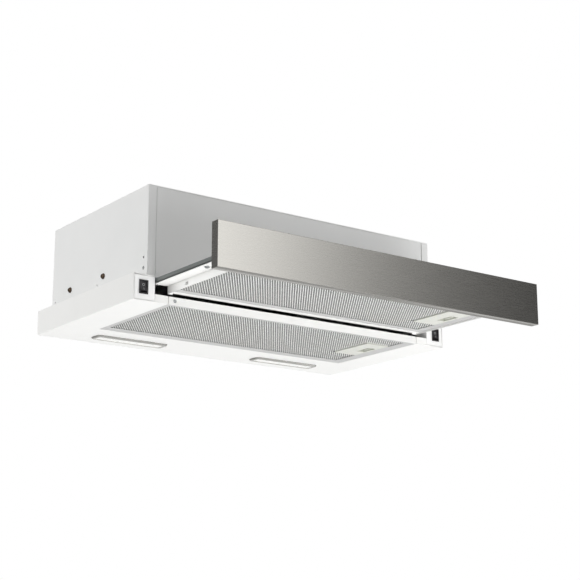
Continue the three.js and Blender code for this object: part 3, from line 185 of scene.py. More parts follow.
def mm(x, y, z):
    """A point in the hood's own millimetres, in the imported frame's metres."""
    return Vector((x, y + HOOD_Y, z + HOOD_Z)) * MM


def in_mm(place):
    return place.x / MM, place.y / MM - HOOD_Y, place.z / MM - HOOD_Z


def new_finish(name, colour, roughness, metallic=0.0):
    """A material with its shader, and the Object coordinates that its patterns read."""
    finish = bpy.data.materials.new(name)
    finish.use_nodes = True
    tree = finish.node_tree
    shader = tree.nodes["Principled BSDF"]
    shader.inputs["Base Color"].default_value = linear(colour)
    shader.inputs["Roughness"].default_value = roughness
    shader.inputs["Metallic"].default_value = metallic
    place = add_node(tree, "ShaderNodeTexCoord").outputs["Object"]
    return finish, tree, shader, place


def cloud(tree, place, size):
    """A soft random pattern whose patches are about `size` mm across."""
    return add_node(tree, "ShaderNodeTexNoise", {
        "Vector": place, "Scale": 1 / (size * MM), "Detail": 2.0}).outputs["Fac"]


def streaks(tree, place, length, width, along="X"):
    """Random lines along one axis, `length` mm by `width` mm."""
    scale = [1 / (width * MM)] * 3
    scale["XYZ".index(along)] = 1 / (length * MM)
    stretched = add_node(tree, "ShaderNodeMapping", {"Vector": place, "Scale": Vector(scale)})
    return add_node(tree, "ShaderNodeTexNoise", {
        "Vector": stretched.outputs["Vector"], "Scale": 1.0, "Detail": 3.0}).outputs["Fac"]


def vary_roughness(tree, shader, pattern, lowest, highest):
    spread = add_node(tree, "ShaderNodeMapRange", {
        "Value": pattern, "From Min": 0.3, "From Max": 0.7, "To Min": lowest, "To Max": highest})
    tree.links.new(spread.outputs["Result"], shader.inputs["Roughness"])


def vary_colour(tree, shader, pattern, dark, light):
    shades = add_node(tree, "ShaderNodeMixRGB", {
        "Fac": pattern, "Color1": linear(dark), "Color2": linear(light)})
    tree.links.new(shades.outputs[0], shader.inputs["Base Color"])


def raise_bumps(tree, shader, pattern, depth):
    """Raises the pattern by about `depth` mm."""
    bumps = add_node(tree, "ShaderNodeBump", {
        "Height": pattern, "Strength": 1.0, "Distance": depth * MM})
    tree.links.new(bumps.outputs["Normal"], shader.inputs["Normal"])


# Powder coat flows into a faint orange peel as it is baked, which breaks up its soft gloss.
white_coat, tree, shader, place = new_finish("white_powder_coated_steel", "#f3f3f1", 0.42)
vary_colour(tree, shader, cloud(tree, place, 60), "#f1f1ef", "#f5f5f3")
vary_roughness(tree, shader, cloud(tree, place, 25), 0.38, 0.48)
raise_bumps(tree, shader, cloud(tree, place, 2.2), 0.012)

body_of = {member: body for body, members in frame["record"]["behaviour"]["bodies"].items()
           for member in members}


def copy_of(node):
    """A CAD node's mesh to work on, with its loose triangles merged."""
    bm = bmesh.new()
    bm.from_mesh(nodes[node].data)
    bmesh.ops.remove_doubles(bm, verts=bm.verts, dist=0.002 * MM)
    return bm


def fold_round(bm, radius, chosen):
    """Rounds the edges whose two ends, in the hood's millimetres, are both `chosen`."""
    edges = [edge for edge in bm.edges
             if chosen(*in_mm(edge.verts[0].co)) and chosen(*in_mm(edge.verts[1].co))
             and len(edge.link_faces) == 2 and edge.calc_face_angle() > 0.5]
    bmesh.ops.bevel(bm, geom=edges, offset=radius * MM, segments=4, profile=0.5,
                    affect="EDGES", clamp_overlap=True)


def made(name, bm, finishes, edge=0.3, steps=2, cutter=None):
    """Makes the object, cuts the cutter's shape out of it and eases its edges by `edge` mm."""
    mesh = bpy.data.meshes.new(name)
    bm.to_mesh(mesh)
    bm.free()
    for finish in finishes:
        mesh.materials.append(finish)
    mesh.shade_smooth()
    piece = bpy.data.objects.new(name, mesh)
    bpy.context.scene.collection.objects.link(piece)
    if cutter:
        cut = piece.modifiers.new("holes", "BOOLEAN")
        cut.operation = "DIFFERENCE"
        cut.solver = "EXACT"
        cut.object = cutter
    if edge:
        easing = piece.modifiers.new("eased_edges", "BEVEL")
        easing.width = edge * MM
        easing.segments = steps
        easing.limit_method = "ANGLE"
        easing.angle_limit = math.radians(40)
        easing.use_clamp_overlap = False
        flat = piece.modifiers.new("flat_faces", "WEIGHTED_NORMAL")
        flat.mode = "FACE_AREA"
        flat.weight = 90
    keep_result(piece)
    if cutter:
        bpy.data.objects.remove(cutter)
    return piece


def keep_result(piece):
    """Turns what the object's modifiers make into its plain mesh."""
    shown = piece.evaluated_get(bpy.context.evaluated_depsgraph_get())
    result = bpy.data.meshes.new_from_object(shown)
    piece.modifiers.clear()
    piece.data = result


def stands_for(piece, slot, *cad_nodes):
    """The piece moves with its CAD nodes' body and is shown in their place."""
    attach(piece, body_of[cad_nodes[0]])
    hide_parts(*cad_nodes)


FRAME_HALF = 299
FRAME_DEPTH = 310
FRAME_FOLD = 1.3
tray = copy_of("lower_frame")
fold_round(tray, FRAME_FOLD, lambda x, y, z: z < 0.1 and (
    abs(x) > FRAME_HALF - 0.1 or y > FRAME_DEPTH - 0.1))
stands_for(made("lower_frame_folded", tray, [white_coat], edge=0.35), "white_paint",
           "lower_frame")

# ---------------------------------------------------------------- Front strip and its screw
# A white strip closes the filter opening's front edge. A tongue on its right end sits in a
# slot of the tray, and a small zinc-plated screw holds its left end on the tab behind.

strip = copy_of("front_strip")
stands_for(made("front_strip_folded", strip, [white_coat], edge=0.35), "white_paint",
           "front_strip")


def turned(bm, profile, centre, axis, sides):
    """Adds a turned shape. The profile is (radius, height) in mm, with the height along the
    axis, and runs from the bottom outwards, up and back in."""
    turn = Vector((0, 0, 1)).rotation_difference(Vector(axis)).to_matrix()
    rings = []
    for radius, height in profile:
        count = 1 if radius == 0 else sides
        angles = [2 * math.pi * index / sides for index in range(count)]
        rings.append([bm.verts.new(centre + turn @ Vector(
            (radius * math.cos(a), radius * math.sin(a), height)) * MM) for a in angles])
    for low, high in zip(rings, rings[1:]):
        for index in range(sides):
            after = (index + 1) % sides
            corners = [low[index % len(low)], low[after % len(low)],
                       high[after % len(high)], high[index % len(high)]]
            bm.faces.new(list(dict.fromkeys(corners)))


def as_tool(name, bm):
    """A shape that is only used to cut others."""
    mesh = bpy.data.meshes.new(name)
    bm.to_mesh(mesh)
    bm.free()
    tool = bpy.data.objects.new(name, mesh)
    bpy.context.scene.collection.objects.link(tool)
    return tool


def screw_head(name, radius, height, finishes, washer=None):
    """A pan head with a cross recess, lying on Z = 0 with its top up, as an object."""
    bm = bmesh.new()
    base = 0.0
    profile = [(0, -0.2)]
    if washer:
        washer_radius, base = washer
        profile += [(washer_radius - 0.25, -0.2), (washer_radius, 0), (washer_radius, base - 0.25),
                    (washer_radius - 0.3, base), (radius + 0.15, base)]
    profile += [(radius - 0.15, base), (radius, base + 0.2)]
    for share in (0.3, 0.55, 0.75, 0.9, 1.0):
        profile.append((radius * math.sqrt(max(0, 1 - share ** 2.2)) if share < 1 else 0,
                        base + height * share))
    turned(bm, profile, Vector(), (0, 0, 1), sides=32)
    arm = radius * 1.25
    slit = radius * 0.28
    recess = bmesh.new()
    top = Matrix.Translation(Vector((0, 0, base + height)) * MM)
    for size in ((arm, slit, height), (slit, arm, height)):
        bmesh.ops.create_cube(recess, size=1,
                              matrix=top @ Matrix.Diagonal(Vector(size) * MM).to_4x4())
    return made(name, bm, finishes, edge=0, cutter=as_tool("recess", recess))


# One tree puts copies of a small part, all turned the same way, on a list of places.
copies = bpy.data.node_groups.new("copies_on_points", "GeometryNodeTree")
copies_in = {name: copies.interface.new_socket(name, in_out="INPUT", socket_type=kind).identifier
             for name, kind in (("Places", "NodeSocketGeometry"), ("Part", "NodeSocketObject"),
                                ("Turn", "NodeSocketRotation"), ("Finish", "NodeSocketMaterial"))}
copies.interface.new_socket("Copies", in_out="OUTPUT", socket_type="NodeSocketGeometry")
given = add_node(copies, "NodeGroupInput").outputs
part_shape = add_node(copies, "GeometryNodeObjectInfo", {"Object": given["Part"]})
on_places = add_node(copies, "GeometryNodeInstanceOnPoints", {
    "Points": given["Places"], "Instance": part_shape.outputs["Geometry"],
    "Rotation": given["Turn"]})
realized = add_node(copies, "GeometryNodeRealizeInstances", {
    "Geometry": on_places.outputs["Instances"]})
finished = add_node(copies, "GeometryNodeSetMaterial", {
    "Geometry": realized.outputs["Geometry"], "Material": given["Finish"]})
add_node(copies, "NodeGroupOutput", {"Copies": finished.outputs["Geometry"]})


def copies_on(name, part, places, facing, finish):
    """Copies of `part` at places in the hood's millimetres, with their tops facing one way."""
    mesh = bpy.data.meshes.new(name)
    mesh.from_pydata([mm(*place) for place in places], [], [])
    piece = bpy.data.objects.new(name, mesh)
    bpy.context.scene.collection.objects.link(piece)
    modifier = piece.modifiers.new("copies", "NODES")
    modifier.node_group = copies
    modifier[copies_in["Part"]] = part
    turn = Vector((0, 0, 1)).rotation_difference(Vector(facing))
    modifier[copies_in["Turn"]] = turn.to_euler()
    modifier[copies_in["Finish"]] = finish
    keep_result(piece)
    bpy.data.objects.remove(part)
    return piece


# Zinc plating is a thin bright coat with a faint cloudy bloom.
zinc, tree, shader, place = new_finish("zinc_plated_steel", "#b4b7b9", 0.34, metallic=1.0)
vary_colour(tree, shader, cloud(tree, place, 3), "#a2a6a9", "#c2c4c4")
vary_roughness(tree, shader, cloud(tree, place, 1.5), 0.28, 0.45)

STRIP_SCREW = (-229, -0.3, 6)
STRIP_HEAD = (2.7, 1.4)  # radius and height, as of all screw heads
strip_head = screw_head("strip_screw", *STRIP_HEAD, [zinc])
stands_for(copies_on("front_strip_screw_head", strip_head, [STRIP_SCREW], (0, -1, 0), zinc),
           "zinc_steel", "front_strip_screw")

# ---------------------------------------------------------------- Upper box
# The box over the tray is folded from 1.2 mm sheet and powder-coated pale grey. Each side
# panel is turned in round the front edge and riveted and spot-welded to the front panel.

# A matt grey coat, a little rougher than the white one.
grey_coat, tree, shader, place = new_finish("grey_powder_coated_steel", "#ebeceb", 0.5)
vary_colour(tree, shader, cloud(tree, place, 80), "#e8e9e8", "#efefee")
vary_roughness(tree, shader, cloud(tree, place, 30), 0.46, 0.56)
raise_bumps(tree, shader, cloud(tree, place, 1.8), 0.015)

BOX_HALF = 274.5
BOX_FRONT = 5
BOX_BOTTOM = 39.7
BOX_FOLD = 1.1
PANEL_TOP = 178.5
TOP_GAP = 0.3
SMALL_HOLES = [(158, 55.4, 1.3), (299, 55.7, 1.3), (16.3, 69.8, 1.7)]  # (y, z, radius)
PRESSED_RING = (15.8, 53.3)
PRESSED_RING_BORE = 1.0
TAB_Z = (45.4, 57.6)
TAB_OUT = 0.5  # how far the locking tab stands out of the panel
FOOT_OUT = 0.9  # how far the panel's foot flares out at its rear corner
FOOT_START_Y = 290
FOOT_HEIGHT = 2.2


def slab(bm, low, high):
    """Adds a box between two corners in the hood's millimetres."""
    low, high = mm(*low), mm(*high)
    place = Matrix.Translation((low + high) / 2) @ Matrix.Diagonal(high - low).to_4x4()
    bmesh.ops.create_cube(bm, size=1, matrix=place)


def against_top(bm):
    """Carries a panel's top edge up to the sheet that lies on it."""
    for vert in bm.verts:
        if in_mm(vert.co)[2] > PANEL_TOP - 0.1:
            vert.co.z += TOP_GAP * MM
    return bm


for side, hand in ((-1, "left"), (1, "right")):
    outwards = Vector((side, 0, 0))
    panel = against_top(copy_of(f"{hand}_side_panel"))
    fold_round(panel, BOX_FOLD, lambda x, y, z: abs(x) > BOX_HALF - 0.05 and y < BOX_FRONT + 0.05)
    cutters = bmesh.new()
    x = sorted((side * (BOX_HALF - 2.1), side * (BOX_HALF - 0.9)))
    slab(cutters, (x[0], BOX_FRONT - 2, TAB_Z[0]), (x[1], BOX_FRONT + 3, TAB_Z[1]))
    for y, z, radius in (*SMALL_HOLES, (*PRESSED_RING, PRESSED_RING_BORE)):
        turned(cutters, [(0, -4), (radius, -4), (radius, 4), (0, 4)],
               mm(side * BOX_HALF, y, z), outwards, sides=20)
    panel = made(f"{hand}_side_panel_folded", panel, [grey_coat], edge=0.15,
                 cutter=as_tool("punch", cutters))
    # A locking tab stands out of the fold, beside the slot that it was cut from. It and the
    # flared foot cross the panel's own faces, so they are added after the holes are cut.
    with_tabs = bmesh.new()
    with_tabs.from_mesh(panel.data)
    x = sorted((side * (BOX_HALF - 0.7), side * (BOX_HALF + TAB_OUT)))
    slab(with_tabs, (x[0], BOX_FRONT - 0.9, TAB_Z[0]), (x[1], BOX_FRONT + 1.6, TAB_Z[1]))
    x = sorted((side * (BOX_HALF - 0.6), side * (BOX_HALF + FOOT_OUT)))
    slab(with_tabs, (x[0], FOOT_START_Y, BOX_BOTTOM),
         (x[1], FRAME_DEPTH - 0.05, BOX_BOTTOM + FOOT_HEIGHT))
    with_tabs.to_mesh(panel.data)
    with_tabs.free()
    stands_for(panel, "grey_paint", f"{hand}_side_panel")
    # A zinc-plated ring stands round the hole. Its grey is painted shade, standing in for the
    # shaded outline of a ring pressed into the panel.
    painted_shade_ring = bmesh.new()
    turned(painted_shade_ring, [(1.2, -0.3), (2.7, -0.3), (2.7, 0.2), (2.3, 0.5), (1.6, 0.5), (1.2, 0.1),
                    (1.2, -0.3)], mm(side * BOX_HALF, *PRESSED_RING), outwards, sides=28)
    painted_shade_ring = made(f"{hand}_side_eyelet", painted_shade_ring, [zinc], edge=0)
    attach(painted_shade_ring, "body")

# A shallow groove runs down the front panel beside the left flange.
GROOVE_X = (-260.6, -259.3)
GROOVE_DEPTH = 0.9
FRONT_PANEL_Y = 6.5
groove = bmesh.new()
slab(groove, (GROOVE_X[0], FRONT_PANEL_Y - 1, BOX_BOTTOM + 1),
     (GROOVE_X[1], FRONT_PANEL_Y + GROOVE_DEPTH, PANEL_TOP - 0.5))
front = against_top(copy_of("front_panel"))
stands_for(made("front_panel_folded", front, [grey_coat], edge=0.15,
                cutter=as_tool("groove", groove)), "grey_paint", "front_panel")

rear = copy_of("rear_panel")
stands_for(made("rear_panel_folded", rear, [grey_coat], edge=0.3), "grey_paint", "rear_panel")

top = copy_of("top_panel")
stands_for(made("top_panel_folded", top, [grey_coat], edge=0.15), "grey_paint", "top_panel")

# Two screws with washers low on each side fix the box in its cabinet. They are passivated to a
# dark warm brown, and the driver has bared bright steel round their recesses.
bronzed, tree, shader, place = new_finish("bronze_passivated_steel", "#5a4c42", 0.4, metallic=1.0)
vary_colour(tree, shader, cloud(tree, place, 2.5), "#4a3e37", "#6d5c4d")
vary_roughness(tree, shader, cloud(tree, place, 1.2), 0.3, 0.5)

# Bare steel where the driver has rubbed is bright and smooth.
bared, tree, shader, place = new_finish("rubbed_bare_steel", "#e0e0de", 0.3, metallic=0.7)
vary_roughness(tree, shader, cloud(tree, place, 1), 0.24, 0.4)

SIDE_SCREW_Z = 66
SIDE_SCREW_YS = (138, 247)
SIDE_HEAD = (3.6, 3.1)
SIDE_WASHER = (4.6, 1.2)
WORN_TOP = (2.3, 2.0)
for side, hand in ((-1, "left"), (1, "right")):
    places = [(side * (BOX_HALF + 0.3), y, SIDE_SCREW_Z) for y in SIDE_SCREW_YS]
    head = screw_head("side_screw", *SIDE_HEAD, [bronzed], washer=SIDE_WASHER)
    stands_for(copies_on(f"{hand}_side_screws", head, places, (side, 0, 0), bronzed),
               "bronzed_steel", f"{hand}_side_screw_front", f"{hand}_side_screw_rear")
    places = [(side * (BOX_HALF + 2.6), y, SIDE_SCREW_Z) for y in SIDE_SCREW_YS]
    worn_top = screw_head("top", *WORN_TOP, [bared])
    worn_tops = copies_on(f"{hand}_side_screw_tops", worn_top, places, (side, 0, 0), bared)
    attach(worn_tops, "body")

# ---------------------------------------------------------------- Switches
# A moulded white block fills each front corner of the tray. A black two-position rocker
# snaps into it, with a printed O over an I.

# Moulded ABS has the fine even grain of its spark-eroded mould.
white_abs, tree, shader, place = new_finish("white_moulded_abs", "#fafaf9", 0.46)
vary_roughness(tree, shader, cloud(tree, place, 12), 0.42, 0.52)
raise_bumps(tree, shader, cloud(tree, place, 0.8), 0.01)

# The black ABS is moulded smoother, and fingers have polished it unevenly.
black_abs, tree, shader, place = new_finish("black_moulded_abs", "#19171a", 0.38)
vary_colour(tree, shader, cloud(tree, place, 6), "#151316", "#201e21")
vary_roughness(tree, shader, cloud(tree, place, 4), 0.32, 0.46)
raise_bumps(tree, shader, cloud(tree, place, 0.7), 0.01)

# Pad-printed marks are a thin matt grey ink.
grey_ink, tree, shader, place = new_finish("grey_pad_printed_ink", "#a9abac", 0.6)
vary_colour(tree, shader, cloud(tree, place, 0.8), "#9c9e9f", "#b4b6b7")

ROCKER_X = 282.5
ROCKER_Z = 20
ROCKER_PIVOT_Y = 4.4
ROCKER_TILT = math.radians(11)
ROCKER_FACE = 5.7
ROCKER_HOLLOW = 1.1
ROCKER_HALF_HEIGHT = 7.2
ROCKER_O_HEIGHT = 2.6  # of the printed marks, from the rocker's pivot
ROCKER_I_HEIGHT = -3.6
O_RADII = (1.5, 2.0)
I_SIZE = (0.5, 3.2, 0.14)

for side, hand in ((-1, "left"), (1, "right")):
    block = copy_of(f"{hand}_switch_block")
    stands_for(made(f"{hand}_switch_block_moulded", block, [white_abs], edge=0.5, steps=3),
               "white_plastic", f"{hand}_switch_block")
    bezel = copy_of(f"{hand}_rocker_housing")
    stands_for(made(f"{hand}_rocker_housing_moulded", bezel, [black_abs], edge=0.25),
               "black_plastic", f"{hand}_rocker_housing")

    rocker = copy_of(f"{hand}_rocker")
    marks = bmesh.new()
    for end, height in ((1, ROCKER_O_HEIGHT), (-1, ROCKER_I_HEIGHT)):
        # The face's two halves lean in to the middle; the whole rocker is tilted as well.
        lean = Vector((0, -ROCKER_HALF_HEIGHT, -end * ROCKER_HOLLOW)).normalized()
        depth = ROCKER_FACE - ROCKER_HOLLOW * (1 - abs(height) / ROCKER_HALF_HEIGHT)
        middle = Vector((0, -depth, height))
        tilt = Matrix.Rotation(-ROCKER_TILT, 3, "X")
        facing = tilt @ lean
        middle = tilt @ middle + Vector((0, ROCKER_PIVOT_Y, ROCKER_Z))
        spot = mm(side * ROCKER_X, middle.y, middle.z) + facing * 0.02 * MM
        if end > 0:
            inner, outer = O_RADII
            turned(marks, [(inner, -0.1), (outer, -0.1), (outer, 0.04), (inner, 0.04),
                           (inner, -0.1)], spot, facing, sides=32)
        else:
            turn = Vector((0, 0, 1)).rotation_difference(facing).to_matrix().to_4x4()
            size = Matrix.Diagonal(Vector(I_SIZE) * MM).to_4x4()
            bmesh.ops.create_cube(marks, size=1, matrix=Matrix.Translation(spot) @ turn @ size)
    stands_for(made(f"{hand}_rocker_moulded", rocker, [black_abs], edge=0.4, steps=3),
               "black_plastic", f"{hand}_rocker")
    printed = made(f"{hand}_rocker_marks", marks, [grey_ink], edge=0)
    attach(printed, f"{hand}_rocker")

# ---------------------------------------------------------------- Slides
# A zinc-plated channel hangs from each side of the tray, and the runner that is screwed on the
# drawer's flange slides in it. The runner is worn with grease and use, and painted darker for
# shade.

# Grease dulls the plating, its colour is painted darker for the shade it lies in, and sliding
# draws dark and bright lines along it.
worn_and_shade_painted_zinc, tree, shader, place = new_finish("worn_and_shade_painted_zinc_plated_steel", "#8d9290", 0.42,
                                            metallic=0.55)
vary_colour(tree, shader, streaks(tree, place, 60, 1.5, "Y"), "#7f8482", "#9ca19f")
vary_roughness(tree, shader, streaks(tree, place, 20, 0.8, "Y"), 0.34, 0.54)

for hand in ("left", "right"):
    channel = copy_of(f"{hand}_slide_channel")
    stands_for(made(f"{hand}_slide_channel_rolled", channel, [zinc], edge=0.25), "zinc_steel",
               f"{hand}_slide_channel")
    # The runner takes the plating that is painted darker for its shade.
    runner = copy_of(f"{hand}_runner")
    stands_for(made(f"{hand}_runner_rolled", runner, [worn_and_shade_painted_zinc], edge=0.3), "zinc_steel",
               f"{hand}_runner")

RUNNER_SCREW_X = 254.05
RUNNER_SCREW_Y = -126
RUNNER_SCREW_Z = 27.2
RUNNER_HEAD = (4, 2.3)
runner_places = [(side * RUNNER_SCREW_X, RUNNER_SCREW_Y, RUNNER_SCREW_Z) for side in (-1, 1)]
runner_head = screw_head("runner_screw", *RUNNER_HEAD, [zinc])
stands_for(copies_on("runner_screws", runner_head, runner_places, (0, 0, -1), zinc),
           "zinc_steel", "left_runner_screw", "right_runner_screw")

# ---------------------------------------------------------------- Drawer
# A white powder-coated frame of 1.2 mm sheet: flanges at the sides, step walls down to the
# rim round its filter, and a cover sheet over the filter.

drawer_rim = copy_of("drawer_frame")
stands_for(made("drawer_frame_folded", drawer_rim, [white_coat], edge=0.3), "white_paint",
           "drawer_frame")
# Four small dimples were pressed in the left flange's rear end.
DIMPLES = [(x, 0.3, 27.55) for x in (-261, -256.5, -252, -247.5)]
dimple = bmesh.new()
turned(dimple, [(0, -0.5), (1.3, -0.5), (1.3, 0.1), (0.9, 0.7), (0, 0.9)], Vector(), (0, 0, 1),
       sides=20)
dimples = copies_on("drawer_flange_dimples", made("dimple", dimple, [white_coat], edge=0), DIMPLES,
                    (0, 0, -1), white_coat)
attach(dimples, "drawer")

cover = copy_of("drawer_cover")
stands_for(made("drawer_cover_folded", cover, [white_coat], edge=0.25), "white_paint",
           "drawer_cover")

# ---------------------------------------------------------------- Fascia
# The drawer's face: 1.2 mm stainless steel brushed along its length, with its four edges
# folded back. Two welded studs hold it on the drawer's front.

# The brush leaves fine scratches along X, so reflections spread up and down and stay clear
# from side to side. The real scratches are under 0.1 mm wide and are drawn at 0.7 mm to show.
brushed, tree, shader, place = new_finish("brushed_stainless_steel", "#b9b7b2", 0.27,
                                          metallic=1.0)
scratches = streaks(tree, place, 45, 0.7)
vary_colour(tree, shader, scratches, "#b2b0ab", "#bfbdb8")
vary_roughness(tree, shader, scratches, 0.25, 0.3)
raise_bumps(tree, shader, scratches, 0.002)
shader.inputs["Anisotropic"].default_value = 0.95
shader.inputs["Anisotropic Rotation"].default_value = 0.25
grain = add_node(tree, "ShaderNodeTangent", direction_type="RADIAL", axis="Z")
tree.links.new(grain.outputs["Tangent"], shader.inputs["Tangent"])

FASCIA_FRONT = -222
FASCIA_HALF = 299
FASCIA_TOP = 65.4
FASCIA_FOLD = 0.9
face = copy_of("fascia")
fold_round(face, FASCIA_FOLD, lambda x, y, z: y < FASCIA_FRONT + 0.1 and (
    abs(x) > FASCIA_HALF - 0.1 or z < 0.1 or z > FASCIA_TOP - 0.1))
stands_for(made("fascia_brushed", face, [brushed], edge=0.25), "brushed_steel", "fascia")

# ---------------------------------------------------------------- Grease filters
# Each cassette is a rolled aluminium channel round several layers of expanded aluminium net,
# of which the lowest shows as separate strands over the inner ones, painted dark for their shade.

# Rolled sheet keeps the faint lines of the mill along its length.
rolled, tree, shader, place = new_finish("rolled_aluminium", "#d3d3d2", 0.45, metallic=0.4)
lines = streaks(tree, place, 90, 1.2)
vary_colour(tree, shader, lines, "#cdcdcc", "#d9d9d8")
vary_roughness(tree, shader, lines, 0.4, 0.5)

# Expanded aluminium is pale and matt, with a soft sheen on the flat of each strand.
expanded_metal, tree, shader, place = new_finish("expanded_aluminium", "#f8f8f6", 0.5,
                                                 metallic=0.1)
vary_colour(tree, shader, cloud(tree, place, 14), "#f0f0ee", "#fdfdfb")
vary_roughness(tree, shader, cloud(tree, place, 5), 0.36, 0.5)

# The layers behind are painted dark for the shade inside the cassette, with painted glints along
# the strands of the cell pattern.
shade_painted_layers, tree, shader, place = new_finish("packed_aluminium_net_in_painted_shade", "#3c3d3d", 0.6,
                                               metallic=0.3)
cells = add_node(tree, "ShaderNodeTexVoronoi", {"Vector": place, "Scale": 1 / (3.2 * MM)},
                 feature="DISTANCE_TO_EDGE")
strand_share = add_node(tree, "ShaderNodeMapRange", {
    "Value": cells.outputs["Distance"], "From Min": 0.03, "From Max": 0.16, "To Min": 1.0,
    "To Max": 0.0})
vary_colour(tree, shader, strand_share.outputs["Result"], "#1c1d1d", "#626362")
raise_bumps(tree, shader, strand_share.outputs["Result"], 0.5)

net_tree = bpy.data.node_groups.new("expanded_metal_net", "GeometryNodeTree")
NET_INPUTS = (("Columns", "NodeSocketInt"), ("Rows", "NodeSocketInt"),
              ("Pitch X", "NodeSocketFloat"), ("Pitch Y", "NodeSocketFloat"),
              ("Strand Width", "NodeSocketFloat"), ("Strand Thickness", "NodeSocketFloat"),
              ("Strand Tilt", "NodeSocketFloat"), ("Centre", "NodeSocketVector"),
              ("Plate Centre", "NodeSocketVector"), ("Plate Half Size", "NodeSocketVector"),
              ("Metal", "NodeSocketMaterial"))
net_in = {name: net_tree.interface.new_socket(name, in_out="INPUT", socket_type=kind).identifier
          for name, kind in NET_INPUTS}
net_tree.interface.new_socket("Net", in_out="OUTPUT", socket_type="NodeSocketGeometry")
given = add_node(net_tree, "NodeGroupInput").outputs


def calculate(operation, first, second):
    return add_node(net_tree, "ShaderNodeMath", {0: first, 1: second},
                    operation=operation).outputs[0]


half_x = calculate("MULTIPLY", given["Pitch X"], 0.5)
half_y = calculate("MULTIPLY", given["Pitch Y"], 0.5)
size_x = calculate("MULTIPLY", calculate("SUBTRACT", given["Columns"], 1.0), given["Pitch X"])
size_y = calculate("MULTIPLY", calculate("SUBTRACT", given["Rows"], 1.0), given["Pitch Y"])
knots = add_node(net_tree, "GeometryNodeMeshGrid", {
    "Size X": size_x, "Size Y": size_y, "Vertices X": given["Columns"],
    "Vertices Y": given["Rows"]}).outputs["Mesh"]
half_pitch = add_node(net_tree, "ShaderNodeCombineXYZ", {"X": half_x, "Y": half_y}).outputs[0]
between = add_node(net_tree, "GeometryNodeTransform", {
    "Geometry": knots, "Translation": half_pitch}).outputs["Geometry"]
all_knots = add_node(net_tree, "GeometryNodeJoinGeometry", {"Geometry": [knots, between]})
placed_knots = add_node(net_tree, "GeometryNodeTransform", {
    "Geometry": all_knots.outputs["Geometry"], "Translation": given["Centre"]})
from_plate = add_node(net_tree, "ShaderNodeVectorMath", {
    0: add_node(net_tree, "GeometryNodeInputPosition").outputs["Position"],
    1: given["Plate Centre"]}, operation="SUBTRACT")
plate_distance = add_node(net_tree, "ShaderNodeVectorMath", {0: from_plate.outputs[0]},
                          operation="ABSOLUTE")
past_edge = add_node(net_tree, "ShaderNodeVectorMath", {
    0: plate_distance.outputs[0], 1: given["Plate Half Size"]}, operation="SUBTRACT")
past = add_node(net_tree, "ShaderNodeSeparateXYZ", {"Vector": past_edge.outputs[0]})
furthest = calculate("MAXIMUM", past.outputs["X"], past.outputs["Y"])
over_plate = add_node(net_tree, "FunctionNodeCompare", {"A": furthest, "B": 0.0},
                      data_type="FLOAT", operation="LESS_THAN")
open_knots = add_node(net_tree, "GeometryNodeDeleteGeometry", {
    "Geometry": placed_knots.outputs["Geometry"], "Selection": over_plate.outputs["Result"]},
    domain="POINT")
strands = []
for sign in (1.0, -1.0):
    reach = add_node(net_tree, "ShaderNodeCombineXYZ", {
        "X": calculate("MULTIPLY", half_x, sign), "Y": half_y}).outputs[0]
    line = add_node(net_tree, "GeometryNodeCurvePrimitiveLine", {"End": reach}, mode="POINTS")
    tilted = add_node(net_tree, "GeometryNodeSetCurveTilt", {
        "Curve": line.outputs["Curve"],
        "Tilt": calculate("MULTIPLY", given["Strand Tilt"], sign)})
    strands.append(tilted.outputs["Curve"])
section = add_node(net_tree, "GeometryNodeCurvePrimitiveQuadrilateral", {
    "Width": given["Strand Width"], "Height": given["Strand Thickness"]}, mode="RECTANGLE")
fork = add_node(net_tree, "GeometryNodeCurveToMesh", {
    "Curve": add_node(net_tree, "GeometryNodeJoinGeometry", {"Geometry": strands}).outputs[0],
    "Profile Curve": section.outputs["Curve"]})
forks = add_node(net_tree, "GeometryNodeInstanceOnPoints", {
    "Points": open_knots.outputs["Geometry"], "Instance": fork.outputs["Mesh"]})
plain = add_node(net_tree, "GeometryNodeRealizeInstances", {
    "Geometry": forks.outputs["Instances"]})
dressed = add_node(net_tree, "GeometryNodeSetMaterial", {
    "Geometry": plain.outputs["Geometry"], "Material": given["Metal"]})
add_node(net_tree, "NodeGroupOutput", {"Net": dressed.outputs["Geometry"]})

# The diamonds measure 4.4 by 6.2 mm from knot to knot, with strands 1.3 mm wide.
PITCH_X = 4.4
PITCH_Y = 6.2
STRAND_WIDTH = 1.3
STRAND_THICKNESS = 0.25
STRAND_TILT = math.radians(12)


def add_net(name, xs, ys, z, plate_centre, plate_half):
    """A net over a rectangle of the hood's millimetres, left open over the latch plate."""
    columns = int((xs[1] - xs[0]) / PITCH_X)
    rows = int((ys[1] - ys[0]) / PITCH_Y)
    piece = bpy.data.objects.new(name, bpy.data.meshes.new(name))
    bpy.context.scene.collection.objects.link(piece)
    modifier = piece.modifiers.new("net", "NODES")
    modifier.node_group = net_tree
    centre = mm((xs[0] + xs[1] - PITCH_X / 2) / 2, (ys[0] + ys[1] - PITCH_Y) / 2, z)
    for label, value in (
            ("Columns", columns), ("Rows", rows), ("Pitch X", PITCH_X * MM),
            ("Pitch Y", PITCH_Y * MM), ("Strand Width", STRAND_WIDTH * MM),
            ("Strand Thickness", STRAND_THICKNESS * MM), ("Strand Tilt", STRAND_TILT),
            ("Centre", centre), ("Plate Centre", mm(*plate_centre, 0)),
            ("Plate Half Size", Vector((*plate_half, 0)) * MM), ("Metal", expanded_metal)):
        modifier[net_in[label]] = value
    keep_result(piece)
    return piece


# Grey moulded ABS, a touch green, with the soft sheen of a polished mould.
grey_abs, tree, shader, place = new_finish("grey_moulded_abs", "#d6d7cf", 0.44)
vary_colour(tree, shader, cloud(tree, place, 20), "#d2d3cb", "#dadbd4")
vary_roughness(tree, shader, cloud(tree, place, 8), 0.38, 0.5)
raise_bumps(tree, shader, cloud(tree, place, 0.9), 0.008)

